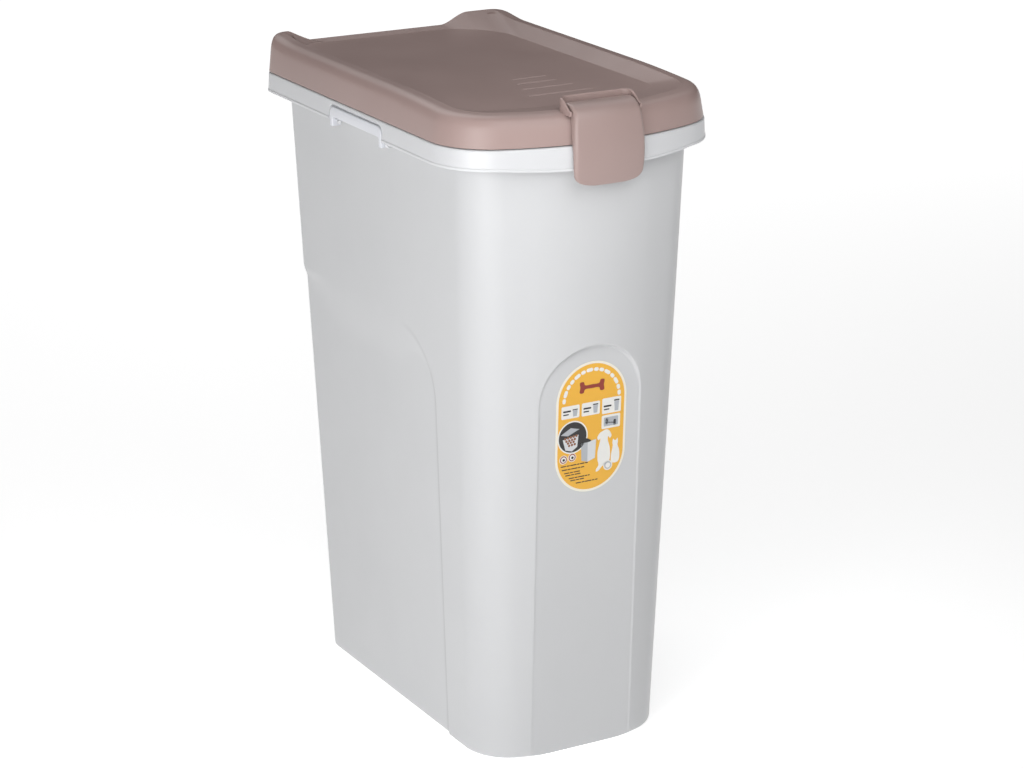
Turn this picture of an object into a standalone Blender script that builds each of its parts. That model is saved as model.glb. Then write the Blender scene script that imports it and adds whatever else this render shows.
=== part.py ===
"""A pet food bin: a tapered plastic body on two rear wheels, with a snap-on rim, a hinged lid that
a latch holds shut at the front, and a swinging grip on each long side.

The frame is +Z up, with the floor at Z = 0. The latch and the label face -Y, and the lid's hinge
is at +Y. Everything is in metres.
"""
import math
from collections import namedtuple

import bmesh
import bpy
from mathutils import Matrix, Vector

# A plan is the bin's outline seen from above: straight sides and rear, and a bowed front.
Plan = namedtuple("Plan", "half_width front rear bow front_corner rear_corner")

BASE_PLAN = Plan(0.0902, 0.165, 0.157, 0.200, 0.044, 0.018)
NECK_PLAN = Plan(0.1075, 0.184, 0.180, 0.215, 0.042, 0.012)
NECK_HEIGHT = 0.528
SKIRT_PLAN = Plan(0.1268, 0.1965, 0.193, 0.250, 0.057, 0.021)
LID_PLAN = Plan(0.1255, 0.194, 0.1915, 0.250, 0.056, 0.020)
DECK_PLAN = Plan(0.085, 0.140, 0.1765, 0.250, 0.034, 0.030)

# Body
BODY_TOP = 0.5427
WALL = 0.0024
FLOOR = 0.0028
FOOT_RADIUS = 0.004
RECESS_DEPTH = 0.0035
RECESS_TOP = 0.369
RECESS_FRONT = -0.086
RECESS_CORNER = 0.062
ARCH_HALF_WIDTH = 0.050
ARCH_TOP = 0.370
ARCH_FLOOR_Y = -0.1584
ARCH_LEAN = math.atan(0.036)

# Rim: its flange lies on the body's edge, and its skirt hangs outside it
FLANGE_TOP = 0.5453
FLANGE_UNDER = 0.5432
SKIRT_BOTTOM = 0.528
SKIRT_THICKNESS = 0.0022
SKIRT_DIP = 0.0035
SKIRT_DIP_HALF_WIDTH = 0.100
UPSTAND_TOP = 0.5535
LEG_BOTTOM = 0.5365
SLIP = 0.0004

# Lid
LID_BOTTOM = 0.546
LID_WALL = 0.0022
RAIL_TOP_FRONT = 0.571
RAIL_TOP_REAR = 0.5782
REAR_EDGE_TOP = 0.5685
REAR_OPENING = (0.052, 0.080, 0.084, 0.102)
DECK_HEIGHT = 0.566
LID_RIB_BOTTOM = 0.549
LID_RIB_THICKNESS = 0.0020
LID_RIB_INSET = 0.0002
RIB_REAR_RISE = 0.0006
RIB_OPENING = (0.075, 0.100, 0.090, 0.104)

# Lid hinge
HINGE_Y = 0.2010
HINGE_Z = 0.5395
HINGE_X = 0.060
HINGE_RADIUS = 0.0058
HINGE_PIN_RADIUS = 0.0020
KNUCKLE_HALF_WIDTH = 0.0100
LUG_WIDTH = 0.0060
SIDE_PLAY = 0.0005

# Latch
LATCH_AXIS_Y = -0.1785
LATCH_AXIS_Z = 0.5750
LATCH_PIN_RADIUS = 0.0013
BARREL_RADIUS = 0.0032
LATCH_WALL = 0.0022
LATCH_BOW = 0.250
COLLAR_HALF_WIDTH = 0.0340
COLLAR_WALL = 0.0022
COLLAR_BACK = -0.1690
COLLAR_FRONT = -0.1905
COLLAR_TOP = 0.5805
COLLAR_FOOT = 0.5690
COLLAR_CORNER = 0.009
COLLAR_SLOPE_Y = -0.1760
COLLAR_SLOPE = math.radians(30)
BARREL_LENGTH = 0.0608

# Side grips
GRIP_Y = 0.006
GRIP_HALF_LENGTH = 0.0475
GRIP_TOP = 0.5405
GRIP_BAR_BOTTOM = 0.5310
GRIP_LEG_WIDTH = 0.0050
GRIP_OUTER_X = 0.1266
GRIP_THICKNESS = 0.0040
GRIP_AXIS_X = 0.1200
GRIP_AXIS_Z = 0.5255
GRIP_EYE_RADIUS = 0.0036
GRIP_PIN_RADIUS = 0.0015
GRIP_CORNER = 0.0065
GRIP_INNER_CORNER = 0.0020
NOTCH_TOP = 0.5420
NOTCH_CORNER = 0.008
NOTCH_MARGIN = 0.0016
NOTCH_X = 0.1245
NOTCH_DEPTH = 0.012
CHEEK_THICKNESS = 0.0040
CHEEK_RADIUS = 0.0040
CHEEK_TOP = 0.5441

# Wheels
WHEEL_RADIUS = 0.0195
WHEEL_Y = 0.150
WHEEL_Z = 0.0205
WHEEL_X = 0.057
WHEEL_WIDTH = 0.016
HUB_RADIUS = 0.0075
TREAD_THICKNESS = 0.004
WEB_THICKNESS = 0.006
AXLE_RADIUS = 0.004
AXLE_PLAY = 0.0006
AXLE_HALF_LENGTH = 0.0688
CAP_RADIUS = 0.0065
CAP_THICKNESS = 0.0030
WELL_INNER_X = 0.0465
WELL_OUTER_X = 0.0715
WELL_FRONT_Y = 0.1275
WELL_TOP = 0.0435
CHANNEL_TOP = 0.0260

# Label
LABEL_HALF_WIDTH = 0.034
LABEL_HALF_HEIGHT = 0.058
LABEL_X = 0.0015
LABEL_Z = 0.296
LABEL_THICKNESS = 0.00025

GAP = 0.0003
FAR = 0.30


# ---------------------------------------------------------------- plans and outlines

def grow(plan, distance):
    """The outline parallel to a plan, a distance outside it."""
    return Plan(*(value + distance for value in plan))


def mix(start, end, share):
    """A plan part of the way from one plan to another."""
    return Plan(*(a + (b - a) * share for a, b in zip(start, end)))


def arc(centre, radius, start, end, steps):
    """Points along an arc, with both ends; angles are in degrees."""
    turns = (math.radians(start + (end - start) * step / steps) for step in range(steps + 1))
    return [(centre[0] + radius * math.cos(t), centre[1] + radius * math.sin(t)) for t in turns]


def plan_points(plan):
    """The plan's outline, anticlockwise from the rear end of its right side."""
    rear_x = plan.half_width - plan.rear_corner
    rear_y = plan.rear - plan.rear_corner
    bow_y = plan.bow - plan.front
    corner_x = plan.half_width - plan.front_corner
    reach = plan.bow - plan.front_corner
    corner_y = bow_y - math.sqrt(reach ** 2 - corner_x ** 2)
    turn = math.degrees(math.atan2(bow_y - corner_y, corner_x))
    points = arc((rear_x, rear_y), plan.rear_corner, 0, 90, 5)
    points += arc((-rear_x, rear_y), plan.rear_corner, 90, 180, 5)
    points += arc((-corner_x, corner_y), plan.front_corner, 180, 360 - 180 + turn, 8)
    points += arc((0, bow_y), plan.bow, 180 + turn, 360 - turn, 10)[1:-1]
    points += arc((corner_x, corner_y), plan.front_corner, 360 - turn, 360, 8)
    return points


def ring(plan, height):
    """The plan's outline at a height, which is a number or a function of x and y."""
    rise = height if callable(height) else lambda x, y: height
    return [Vector((x, y, rise(x, y))) for x, y in plan_points(plan)]


def body_plan(height):
    """The body's outer outline at a height, which its draft widens towards the top."""
    return mix(BASE_PLAN, NECK_PLAN, height / NECK_HEIGHT)


def smooth(low, high, value):
    """0 below low, 1 above high, and an even curve between."""
    share = min(max((value - low) / (high - low), 0.0), 1.0)
    return share * share * (3 - 2 * share)


# ---------------------------------------------------------------- objects

def clear_scene():
    """Remove whatever the scene starts with."""
    for thing in list(bpy.data.objects):
        bpy.data.objects.remove(thing, do_unlink=True)


def new_collection(name):
    """A collection of that name, linked to the scene."""
    group = bpy.data.collections.new(name)
    bpy.context.scene.collection.children.link(group)
    return group


def plastic(name, colour, roughness, metallic=0.0):
    """A Principled material of one colour."""
    material = bpy.data.materials.new(name)
    material.use_nodes = True
    shader = material.node_tree.nodes["Principled BSDF"]
    shader.inputs["Base Color"].default_value = (*colour, 1.0)
    shader.inputs["Roughness"].default_value = roughness
    shader.inputs["Metallic"].default_value = metallic
    return material


def add_object(name, mesh, material=None):
    """Place a mesh in the parts' collection, or a cutter in the cutters' collection."""
    thing = bpy.data.objects.new(name, mesh)
    if material:
        PARTS.objects.link(thing)
        mesh.materials.clear()
        mesh.materials.append(material)
    else:
        CUTTERS.objects.link(thing)
        thing.hide_render = True
        thing.display_type = "WIRE"
    mesh.shade_smooth()
    mesh.set_sharp_from_angle(angle=math.radians(32))
    return thing


def mesh_from(name, form):
    """Turn a bmesh into a mesh with its faces pointing out."""
    bmesh.ops.recalc_face_normals(form, faces=form.faces)
    mesh = bpy.data.meshes.new(name)
    form.to_mesh(mesh)
    form.free()
    return mesh


def loft(name, rings, material=None, closed=False):
    """Skin rings of points. A closed loft joins its last ring to its first; an open one has caps."""
    form = bmesh.new()
    rows = [[form.verts.new(point) for point in points] for points in rings]
    pairs = list(zip(rows, rows[1:]))
    if closed:
        pairs.append((rows[-1], rows[0]))
    else:
        form.faces.new(rows[0])
        form.faces.new(rows[-1])
    for lower, upper in pairs:
        for here in range(len(lower)):
            there = (here + 1) % len(lower)
            form.faces.new((lower[here], lower[there], upper[there], upper[here]))
    return add_object(name, mesh_from(name, form), material)


def plate(name, outline, thickness, placing, material=None):
    """A flat outline given thickness along its own Z, then placed by a matrix."""
    curve = bpy.data.curves.new(name, "CURVE")
    curve.dimensions = "2D"
    curve.fill_mode = "BOTH"
    curve.extrude = thickness / 2
    spline = curve.splines.new("POLY")
    spline.points.add(len(outline) - 1)
    for point, (x, y) in zip(spline.points, outline):
        point.co = (x, y, 0, 1)
    spline.use_cyclic_u = True
    guide = bpy.data.objects.new(name, curve)
    CUTTERS.objects.link(guide)
    view = bpy.context.evaluated_depsgraph_get()
    mesh = bpy.data.meshes.new_from_object(guide.evaluated_get(view))
    bpy.data.objects.remove(guide, do_unlink=True)
    form = bmesh.new()
    form.from_mesh(mesh)
    bmesh.ops.remove_doubles(form, verts=form.verts, dist=0.00001)
    bmesh.ops.transform(form, matrix=placing, verts=form.verts)
    return add_object(name, mesh_from(name, form), material)


def box(name, low, high, material=None):
    """A box between two corners."""
    form = bmesh.new()
    bmesh.ops.create_cube(form, size=1.0)
    low = Vector(low)
    high = Vector(high)
    for vert in form.verts:
        share = vert.co + Vector((0.5, 0.5, 0.5))
        vert.co = low + Vector(a * b for a, b in zip(share, high - low))
    return add_object(name, mesh_from(name, form), material)


def rod(name, centre, axis, radius, length, material=None, segments=24):
    """A cylinder about its centre, along the X or the Y axis."""
    turn = {"X": Matrix.Rotation(math.radians(90), 4, "Y"), "Y": Matrix.Rotation(math.radians(90), 4, "X")}
    form = bmesh.new()
    bmesh.ops.create_cone(form, cap_ends=True, segments=segments, radius1=radius, radius2=radius,
                          depth=length, matrix=Matrix.Translation(centre) @ turn[axis])
    return add_object(name, mesh_from(name, form), material)


def combine(target, tool, operation):
    """Cut a solid out of a part, or join it on."""
    step = target.modifiers.new(tool.name, "BOOLEAN")
    step.operation = operation
    step.solver = "EXACT"
    step.object = tool


def put_origin(thing, point):
    """Move an object's origin to a point on its joint's axis, and leave its shape in place."""
    thing.data.transform(Matrix.Translation(-Vector(point)))
    thing.location = point


def hang_on(child, parent):
    """Parent a piece to another without moving it."""
    child.parent = parent
    child.matrix_parent_inverse = Matrix.Translation(-parent.location)


def outline_facing(axis, centre):
    """A matrix that stands an XY outline up: its X and Y become Y and Z, or X and Z."""
    if axis == "X":
        turn = Matrix(((0, 0, 1, 0), (1, 0, 0, 0), (0, 1, 0, 0), (0, 0, 0, 1)))
    else:
        turn = Matrix(((1, 0, 0, 0), (0, 0, -1, 0), (0, 1, 0, 0), (0, 0, 0, 1)))
    return Matrix.Translation(centre) @ turn


# ---------------------------------------------------------------- body

def tapered_solid(name, inset, floor, top, material=None):
    """The body's tapered form, inset from its outer face, with a rounded foot."""
    foot = [(0.0, FOOT_RADIUS), (0.3, 0.4 * FOOT_RADIUS), (1.0, 0.0)]
    rings = [ring(grow(body_plan(0), -inset - pull), floor + share * FOOT_RADIUS) for share, pull in foot]
    rings.append(ring(grow(body_plan(top), -inset), top))
    return loft(name, rings, material)


def side_recess_cutter(name, inset):
    """What the shallow recess takes off both sides and the rear, below its rounded top edge."""
    front = RECESS_FRONT - inset
    top = RECESS_TOP + inset
    corner = (front + RECESS_CORNER, top - RECESS_CORNER)
    outline = [(front, -FAR)] + arc(corner, RECESS_CORNER, 180, 90, 12) + [(FAR, top), (FAR, -FAR)]
    cutter = plate(name, outline, 2 * FAR, outline_facing("X", (0, 0, 0)))
    core = loft(name + "_core", [ring(grow(body_plan(z), -inset - RECESS_DEPTH), z) for z in (-0.02, 0.60)])
    combine(cutter, core, "DIFFERENCE")
    return cutter


def front_arch_cutter(name, inset):
    """What the arched flat panel takes off the bowed front."""
    half = ARCH_HALF_WIDTH + inset
    crown = ARCH_TOP + inset - half
    outline = [(half, -0.05)] + arc((0, crown), half, 0, 180, 20) + [(-half, -0.05)]
    depth = 0.05
    lean = Matrix.Rotation(ARCH_LEAN, 4, "X")
    centre = Matrix.Translation((0, ARCH_FLOOR_Y + inset, 0))
    back = Matrix.Translation((0, -depth / 2, 0))
    return plate(name, outline, depth, centre @ lean @ back @ outline_facing("Y", (0, 0, 0)))


def wheel_space_cutters(name, margin):
    """The two wheel wells, open at the bottom and the rear, and the axle's channel between them."""
    spaces = []
    for side, sign in (("left", -1), ("right", 1)):
        inner = sign * (WELL_INNER_X - margin)
        outer = sign * (WELL_OUTER_X + margin)
        low = (min(inner, outer), WELL_FRONT_Y - margin, -0.02)
        high = (max(inner, outer), FAR, WELL_TOP + margin)
        spaces.append(box(f"{name}_well_{side}", low, high))
    half = AXLE_RADIUS + AXLE_PLAY + margin
    low = (-WELL_INNER_X - 0.001, WHEEL_Y - half, -0.02)
    high = (WELL_INNER_X + 0.001, WHEEL_Y + half, CHANNEL_TOP + margin)
    spaces.append(box(f"{name}_channel", low, high))
    return spaces


def shaped_solid(name, inset, floor, top, material=None):
    """The body's form with every recess, as its outer skin or as the hollow inside it."""
    solid = tapered_solid(name, inset, floor, top, material)
    combine(solid, side_recess_cutter(f"{name}_side_recess", inset), "DIFFERENCE")
    combine(solid, front_arch_cutter(f"{name}_front_arch", inset), "DIFFERENCE")
    for space in wheel_space_cutters(name, inset):
        combine(solid, space, "DIFFERENCE")
    return solid


def make_body():
    """The thin-walled body: the outer form less the hollow, which runs out of its top."""
    body = shaped_solid("bin_body", 0.0, 0.0, BODY_TOP, BODY_PLASTIC)
    hollow = shaped_solid("body_hollow", WALL, FLOOR, BODY_TOP + 0.02)
    combine(body, hollow, "DIFFERENCE")
    return body


def make_label():
    """The stadium-shaped label on the arched panel."""
    half = LABEL_HALF_WIDTH
    straight = LABEL_HALF_HEIGHT - half
    outline = arc((0, straight), half, 0, 180, 16) + arc((0, -straight), half, 180, 360, 16)
    lean = Matrix.Rotation(ARCH_LEAN, 4, "X")
    foot = Matrix.Translation((LABEL_X, ARCH_FLOOR_Y, 0))
    off_panel = Matrix.Translation((0, -GAP - LABEL_THICKNESS / 2, LABEL_Z / math.cos(ARCH_LEAN)))
    placing = foot @ lean @ off_panel
    return plate("label", outline, LABEL_THICKNESS, placing @ outline_facing("Y", (0, 0, 0)), LABEL_FILM)


# ---------------------------------------------------------------- rim

def skirt_bottom(x, y):
    """The skirt's lower edge, which dips at the front where the latch hooks on."""
    share = max(0.0, 1 - (x / SKIRT_DIP_HALF_WIDTH) ** 2)
    return SKIRT_BOTTOM - SKIRT_DIP * share * smooth(-0.10, -0.16, y)


def rim_rings():
    """The rim's cross-section, one ring for each corner of it, from the skirt round to the skirt."""
    edge = body_plan(BODY_TOP)
    low_edge = body_plan(LEG_BOTTOM)
    bead = grow(SKIRT_PLAN, 0.0004)
    upper = grow(SKIRT_PLAN, -0.0012)
    return [
        ring(SKIRT_PLAN, skirt_bottom),
        ring(bead, lambda x, y: skirt_bottom(x, y) + 0.0012),
        ring(grow(SKIRT_PLAN, -0.0006), lambda x, y: skirt_bottom(x, y) + 0.0030),
        ring(upper, FLANGE_TOP - 0.0006),
        ring(grow(upper, -0.0006), FLANGE_TOP),
        ring(grow(edge, 0.0045), FLANGE_TOP),
        ring(grow(edge, 0.0042), UPSTAND_TOP),
        ring(grow(edge, 0.0026), UPSTAND_TOP),
        ring(grow(edge, 0.0024), FLANGE_TOP),
        ring(grow(edge, -0.0050), FLANGE_TOP),
        ring(grow(low_edge, -0.0050), LEG_BOTTOM),
        ring(grow(low_edge, -WALL - SLIP), LEG_BOTTOM),
        ring(grow(edge, -WALL - SLIP), BODY_TOP + GAP),
        ring(grow(edge, SLIP), BODY_TOP + GAP),
        ring(grow(low_edge, SLIP), LEG_BOTTOM),
        ring(grow(edge, 0.0026), LEG_BOTTOM),
        ring(grow(edge, 0.0026), FLANGE_UNDER),
        ring(grow(upper, -SKIRT_THICKNESS), FLANGE_UNDER),
        ring(grow(SKIRT_PLAN, -SKIRT_THICKNESS), skirt_bottom),
    ]


def notch_cutter(name, sign):
    """The notch in one side's skirt that a grip lies in."""
    half = GRIP_HALF_LENGTH + NOTCH_MARGIN
    round_y = half - NOTCH_CORNER
    round_z = NOTCH_TOP - NOTCH_CORNER
    foot = SKIRT_BOTTOM - 0.01
    outline = [(half, foot)] + arc((round_y, round_z), NOTCH_CORNER, 0, 90, 6)
    outline += arc((-round_y, round_z), NOTCH_CORNER, 90, 180, 6) + [(-half, foot)]
    return plate(name, outline, NOTCH_DEPTH, outline_facing("X", (sign * NOTCH_X, GRIP_Y, 0)))


def grip_cheeks(side, sign):
    """The two cheeks under the flange that carry a grip's pins."""
    cheeks = []
    root = CHEEK_TOP - GRIP_AXIS_Z
    outline = [(CHEEK_RADIUS, root)] + arc((0, 0), CHEEK_RADIUS, 0, -180, 8) + [(-CHEEK_RADIUS, root)]
    for end, way in (("front", -1), ("rear", 1)):
        y = GRIP_Y + way * (GRIP_HALF_LENGTH + SIDE_PLAY + CHEEK_THICKNESS / 2)
        placing = outline_facing("Y", (sign * GRIP_AXIS_X, y, GRIP_AXIS_Z))
        cheeks.append(plate(f"cheek_{side}_{end}", outline, CHEEK_THICKNESS, placing))
    return cheeks


def hinge_lugs(side, sign):
    """The two lugs on the rim's rear that hold one hinge pin."""
    lugs = []
    for end, way in (("inner", -1), ("outer", 1)):
        x = sign * HINGE_X + way * (KNUCKLE_HALF_WIDTH + SIDE_PLAY + LUG_WIDTH / 2)
        root_y = SKIRT_PLAN.rear - 0.0020 - HINGE_Y
        outline = [(root_y, -0.0062), (0, -HINGE_RADIUS)]
        outline += arc((0, 0), HINGE_RADIUS, -80, 100, 12) + [(root_y, 0.0046)]
        placing = outline_facing("X", (x, HINGE_Y, HINGE_Z))
        lugs.append(plate(f"lug_{side}_{end}", outline, LUG_WIDTH, placing))
    return lugs


def make_rim():
    """The rim frame: one closed ring with notches, grip cheeks and hinge lugs."""
    rim = loft("rim_frame", rim_rings(), RIM_PLASTIC, closed=True)
    for side, sign in (("left", -1), ("right", 1)):
        combine(rim, notch_cutter(f"notch_{side}", sign), "DIFFERENCE")
        for solid in grip_cheeks(side, sign) + hinge_lugs(side, sign):
            combine(rim, solid, "UNION")
        reach = 2 * (GRIP_HALF_LENGTH + CHEEK_THICKNESS + 0.004)
        bore = rod(f"grip_bore_{side}", (sign * GRIP_AXIS_X, GRIP_Y, GRIP_AXIS_Z), "Y",
                   GRIP_PIN_RADIUS + GAP, reach)
        combine(rim, bore, "DIFFERENCE")
        bore = rod(f"hinge_bore_{side}", (sign * HINGE_X, HINGE_Y, HINGE_Z), "X",
                   HINGE_PIN_RADIUS + GAP, 0.05)
        combine(rim, bore, "DIFFERENCE")
    return rim


def make_seal():
    """The soft ring that lies on the rim inside its upstand, under the lid's rib."""
    edge = body_plan(BODY_TOP)
    low = FLANGE_TOP + GAP
    high = LID_RIB_BOTTOM - GAP
    corners = [(0.0020, low), (0.0016, high), (-0.0036, high), (-0.0044, low)]
    rings = [ring(grow(edge, reach), height) for reach, height in corners]
    return loft("lid_seal", rings, SEAL_RUBBER, closed=True)


# ---------------------------------------------------------------- lid

def rail_height(x, y, rear_top=REAR_EDGE_TOP, opening=REAR_OPENING):
    """The top of the lid's edge: rails along both sides, a low front, and a rear open between them.

    The opening's numbers are where its right side starts and ends, and then its left side.
    """
    rail = RAIL_TOP_FRONT + (RAIL_TOP_REAR - RAIL_TOP_FRONT) * smooth(-0.205, -0.070, y)
    right_start, right_end, left_start, left_end = opening
    share = (1 - smooth(right_start, right_end, x)) * (1 - smooth(left_start, left_end, -x))
    return rail + (rear_top - rail) * share * smooth(0.150, 0.172, y)


def lid_edge_plan(side_inset, rear_inset):
    """The lid's outline drawn in by one distance at the sides and front, and another at the rear."""
    plan = grow(LID_PLAN, -side_inset)
    return plan._replace(rear=LID_PLAN.rear - rear_inset, rear_corner=max(plan.rear_corner, 0.006))


def lid_rings():
    """The lid's shell: up the outside to the deck, then back down the inside to the lower edge."""
    def below(drop):
        return lambda x, y: rail_height(x, y) - drop

    outside = [
        ring(LID_PLAN, LID_BOTTOM),
        ring(lid_edge_plan(0.0030, 0.0012), below(0.0060)),
        ring(lid_edge_plan(0.0042, 0.0020), below(0.0022)),
        ring(lid_edge_plan(0.0078, 0.0034), below(0.0)),
        ring(lid_edge_plan(0.0190, 0.0046), below(0.0004)),
        ring(DECK_PLAN, DECK_HEIGHT),
    ]
    inside = [
        ring(grow(DECK_PLAN, -0.0003), DECK_HEIGHT - LID_WALL),
        ring(lid_edge_plan(0.0198, 0.0064), below(0.0004 + LID_WALL)),
        ring(lid_edge_plan(0.0090, 0.0052), below(LID_WALL)),
        ring(lid_edge_plan(0.0052, 0.0036), below(0.0072)),
        ring(grow(LID_PLAN, -LID_WALL), LID_BOTTOM),
    ]
    return outside, inside


def lid_shell():
    """Skin the shell, with the deck's two faces closed separately."""
    outside, inside = lid_rings()
    form = bmesh.new()
    rows = [[form.verts.new(point) for point in points] for points in outside + inside]
    deck_row = len(outside) - 1
    for number, (lower, upper) in enumerate(zip(rows, rows[1:] + rows[:1])):
        if number == deck_row:
            form.faces.new(lower)
            form.faces.new(upper)
            continue
        for here in range(len(lower)):
            there = (here + 1) % len(lower)
            form.faces.new((lower[here], lower[there], upper[there], upper[here]))
    return add_object("lid", mesh_from("lid", form), LID_PLASTIC)


def lid_rib():
    """The rib inside the lid that presses on the seal; its top is buried in the shell."""
    outer = grow(body_plan(BODY_TOP), -LID_RIB_INSET)
    inner = grow(outer, -LID_RIB_THICKNESS)

    def buried(x, y):
        top = rail_height(x, y, DECK_HEIGHT + RIB_REAR_RISE, RIB_OPENING)
        return top - LID_WALL / 2

    return loft("lid_rib", [ring(outer, LID_RIB_BOTTOM), ring(outer, buried), ring(inner, buried),
                            ring(inner, LID_RIB_BOTTOM)], closed=True)


def latch_collar():
    """The thin U-shaped wall on the lid's front edge, round the latch's barrel."""
    outer = COLLAR_HALF_WIDTH
    inner = outer - COLLAR_WALL
    corner = COLLAR_CORNER
    back = COLLAR_BACK
    outline = [(outer, COLLAR_FRONT)] + arc((outer - corner, back - corner), corner, 0, 90, 6)
    outline += arc((corner - outer, back - corner), corner, 90, 180, 6) + [(-outer, COLLAR_FRONT)]
    tight = corner - COLLAR_WALL
    outline += [(-inner, COLLAR_FRONT)] + arc((corner - outer, back - corner), tight, 180, 90, 6)
    outline += arc((outer - corner, back - corner), tight, 90, 0, 6) + [(inner, COLLAR_FRONT)]
    centre = (COLLAR_FOOT + COLLAR_TOP) / 2
    collar = plate("latch_collar", outline, COLLAR_TOP - COLLAR_FOOT, Matrix.Translation((0, 0, centre)))
    slope = box("collar_slope", (-0.05, -0.03, 0.0), (0.05, 0.0, 0.02))
    tilt = Matrix.Rotation(COLLAR_SLOPE, 4, "X")
    slope.matrix_world = Matrix.Translation((0, COLLAR_SLOPE_Y, COLLAR_TOP)) @ tilt
    combine(collar, slope, "DIFFERENCE")
    return collar


def lid_knuckle(side, sign):
    """The lid's knuckle between two of the rim's lugs, with the arm that joins it to the rear wall."""
    wall_y = LID_PLAN.rear - 0.0016 - HINGE_Y
    clear_y = SKIRT_PLAN.rear + 0.0012 - HINGE_Y
    outline = arc((0, 0), HINGE_RADIUS, -175, 20, 12)
    outline += [(HINGE_RADIUS * 0.9, 0.0120), (0.0010, 0.0185), (wall_y, 0.0210), (wall_y, 0.0078)]
    outline += [(clear_y, 0.0072)]
    placing = outline_facing("X", (sign * HINGE_X, HINGE_Y, HINGE_Z))
    return plate(f"knuckle_{side}", outline, 2 * KNUCKLE_HALF_WIDTH, placing)


def make_lid():
    """The lid with its rib, its latch collar and its hinge knuckles."""
    lid = lid_shell()
    combine(lid, lid_rib(), "UNION")
    combine(lid, latch_collar(), "UNION")
    for side, sign in (("left", -1), ("right", 1)):
        combine(lid, lid_knuckle(side, sign), "UNION")
        centre = (sign * HINGE_X, HINGE_Y, HINGE_Z)
        bore = rod(f"lid_bore_{side}", centre, "X", HINGE_PIN_RADIUS + GAP, 0.04)
        combine(lid, bore, "DIFFERENCE")
    pin_bore = rod("collar_bore", (0, LATCH_AXIS_Y, LATCH_AXIS_Z), "X", LATCH_PIN_RADIUS + GAP, 0.09)
    combine(lid, pin_bore, "DIFFERENCE")
    put_origin(lid, (0, HINGE_Y, HINGE_Z))
    return lid


def make_hinge_pins():
    """One pin through each hinge."""
    length = 2 * (KNUCKLE_HALF_WIDTH + SIDE_PLAY + LUG_WIDTH)
    for side, sign in (("left", -1), ("right", 1)):
        centre = (sign * HINGE_X, HINGE_Y, HINGE_Z)
        rod(f"hinge_pin_{side}", centre, "X", HINGE_PIN_RADIUS, length, PIN_PLASTIC)


# ---------------------------------------------------------------- latch

def latch_path():
    """The latch's outer face from its barrel over the lid's edge and down: y, z, half width, depth.

    Depth is how far the side flanges turn in behind the face.
    """
    return [
        (-0.1775, 0.5781, 0.0306, 0.0024),
        (-0.1850, 0.5776, 0.0306, 0.0024),
        (-0.1910, 0.5762, 0.0306, 0.0034),
        (-0.1950, 0.5738, 0.0308, 0.0056),
        (-0.1975, 0.5700, 0.0312, 0.0070),
        (-0.1992, 0.5630, 0.0320, 0.0062),
        (-0.2012, 0.5520, 0.0328, 0.0060),
        (-0.2022, 0.5400, 0.0330, 0.0046),
        (-0.2020, 0.5300, 0.0328, 0.0042),
        (-0.2010, 0.5210, 0.0320, 0.0036),
        (-0.2002, 0.5160, 0.0290, 0.0030),
        (-0.1996, 0.5136, 0.0240, 0.0026),
    ]


def latch_section(station, inward):
    """One row across the latch: a flange, the bowed face and the other flange."""
    y, z, half_width, depth = station
    row = []
    columns = [step / 4 for step in range(-4, 5)]
    for column in columns:
        x = column * half_width
        row.append(Vector((x, y + x * x / (2 * LATCH_BOW), z)))
    turned = [point + inward * depth for point in (row[0], row[-1])]
    return [turned[0]] + row + [turned[1]]


def latch_shell():
    """The latch's face and flanges as an open sheet that Solidify thickens inwards."""
    path = latch_path()
    form = bmesh.new()
    rows = []
    for number, station in enumerate(path):
        ahead = path[min(number + 1, len(path) - 1)]
        behind = path[max(number - 1, 0)]
        along = Vector((0, ahead[0] - behind[0], ahead[1] - behind[1])).normalized()
        inward = Vector((0, -along.z, along.y))
        rows.append([form.verts.new(point) for point in latch_section(station, inward)])
    for upper, lower in zip(rows, rows[1:]):
        for here in range(len(upper) - 1):
            form.faces.new((upper[here], lower[here], lower[here + 1], upper[here + 1]))
    mesh = bpy.data.meshes.new("latch")
    form.to_mesh(mesh)
    form.free()
    latch = add_object("latch", mesh, LATCH_PLASTIC)
    shell = latch.modifiers.new("shell", "SOLIDIFY")
    shell.thickness = LATCH_WALL
    shell.offset = -1
    return latch


def make_latch():
    """The latch: a bowed shell with a barrel round its pin."""
    latch = latch_shell()
    axis = (0, LATCH_AXIS_Y, LATCH_AXIS_Z)
    combine(latch, rod("latch_barrel", axis, "X", BARREL_RADIUS, BARREL_LENGTH), "UNION")
    combine(latch, rod("latch_bore", axis, "X", LATCH_PIN_RADIUS + GAP, 0.09), "DIFFERENCE")
    put_origin(latch, axis)
    return latch


def make_latch_pin():
    """The pin through the collar's sides and the latch's barrel."""
    axis = (0, LATCH_AXIS_Y, LATCH_AXIS_Z)
    return rod("latch_pin", axis, "X", LATCH_PIN_RADIUS, 2 * COLLAR_HALF_WIDTH, PIN_METAL, 16)


# ---------------------------------------------------------------- side grips

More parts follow.
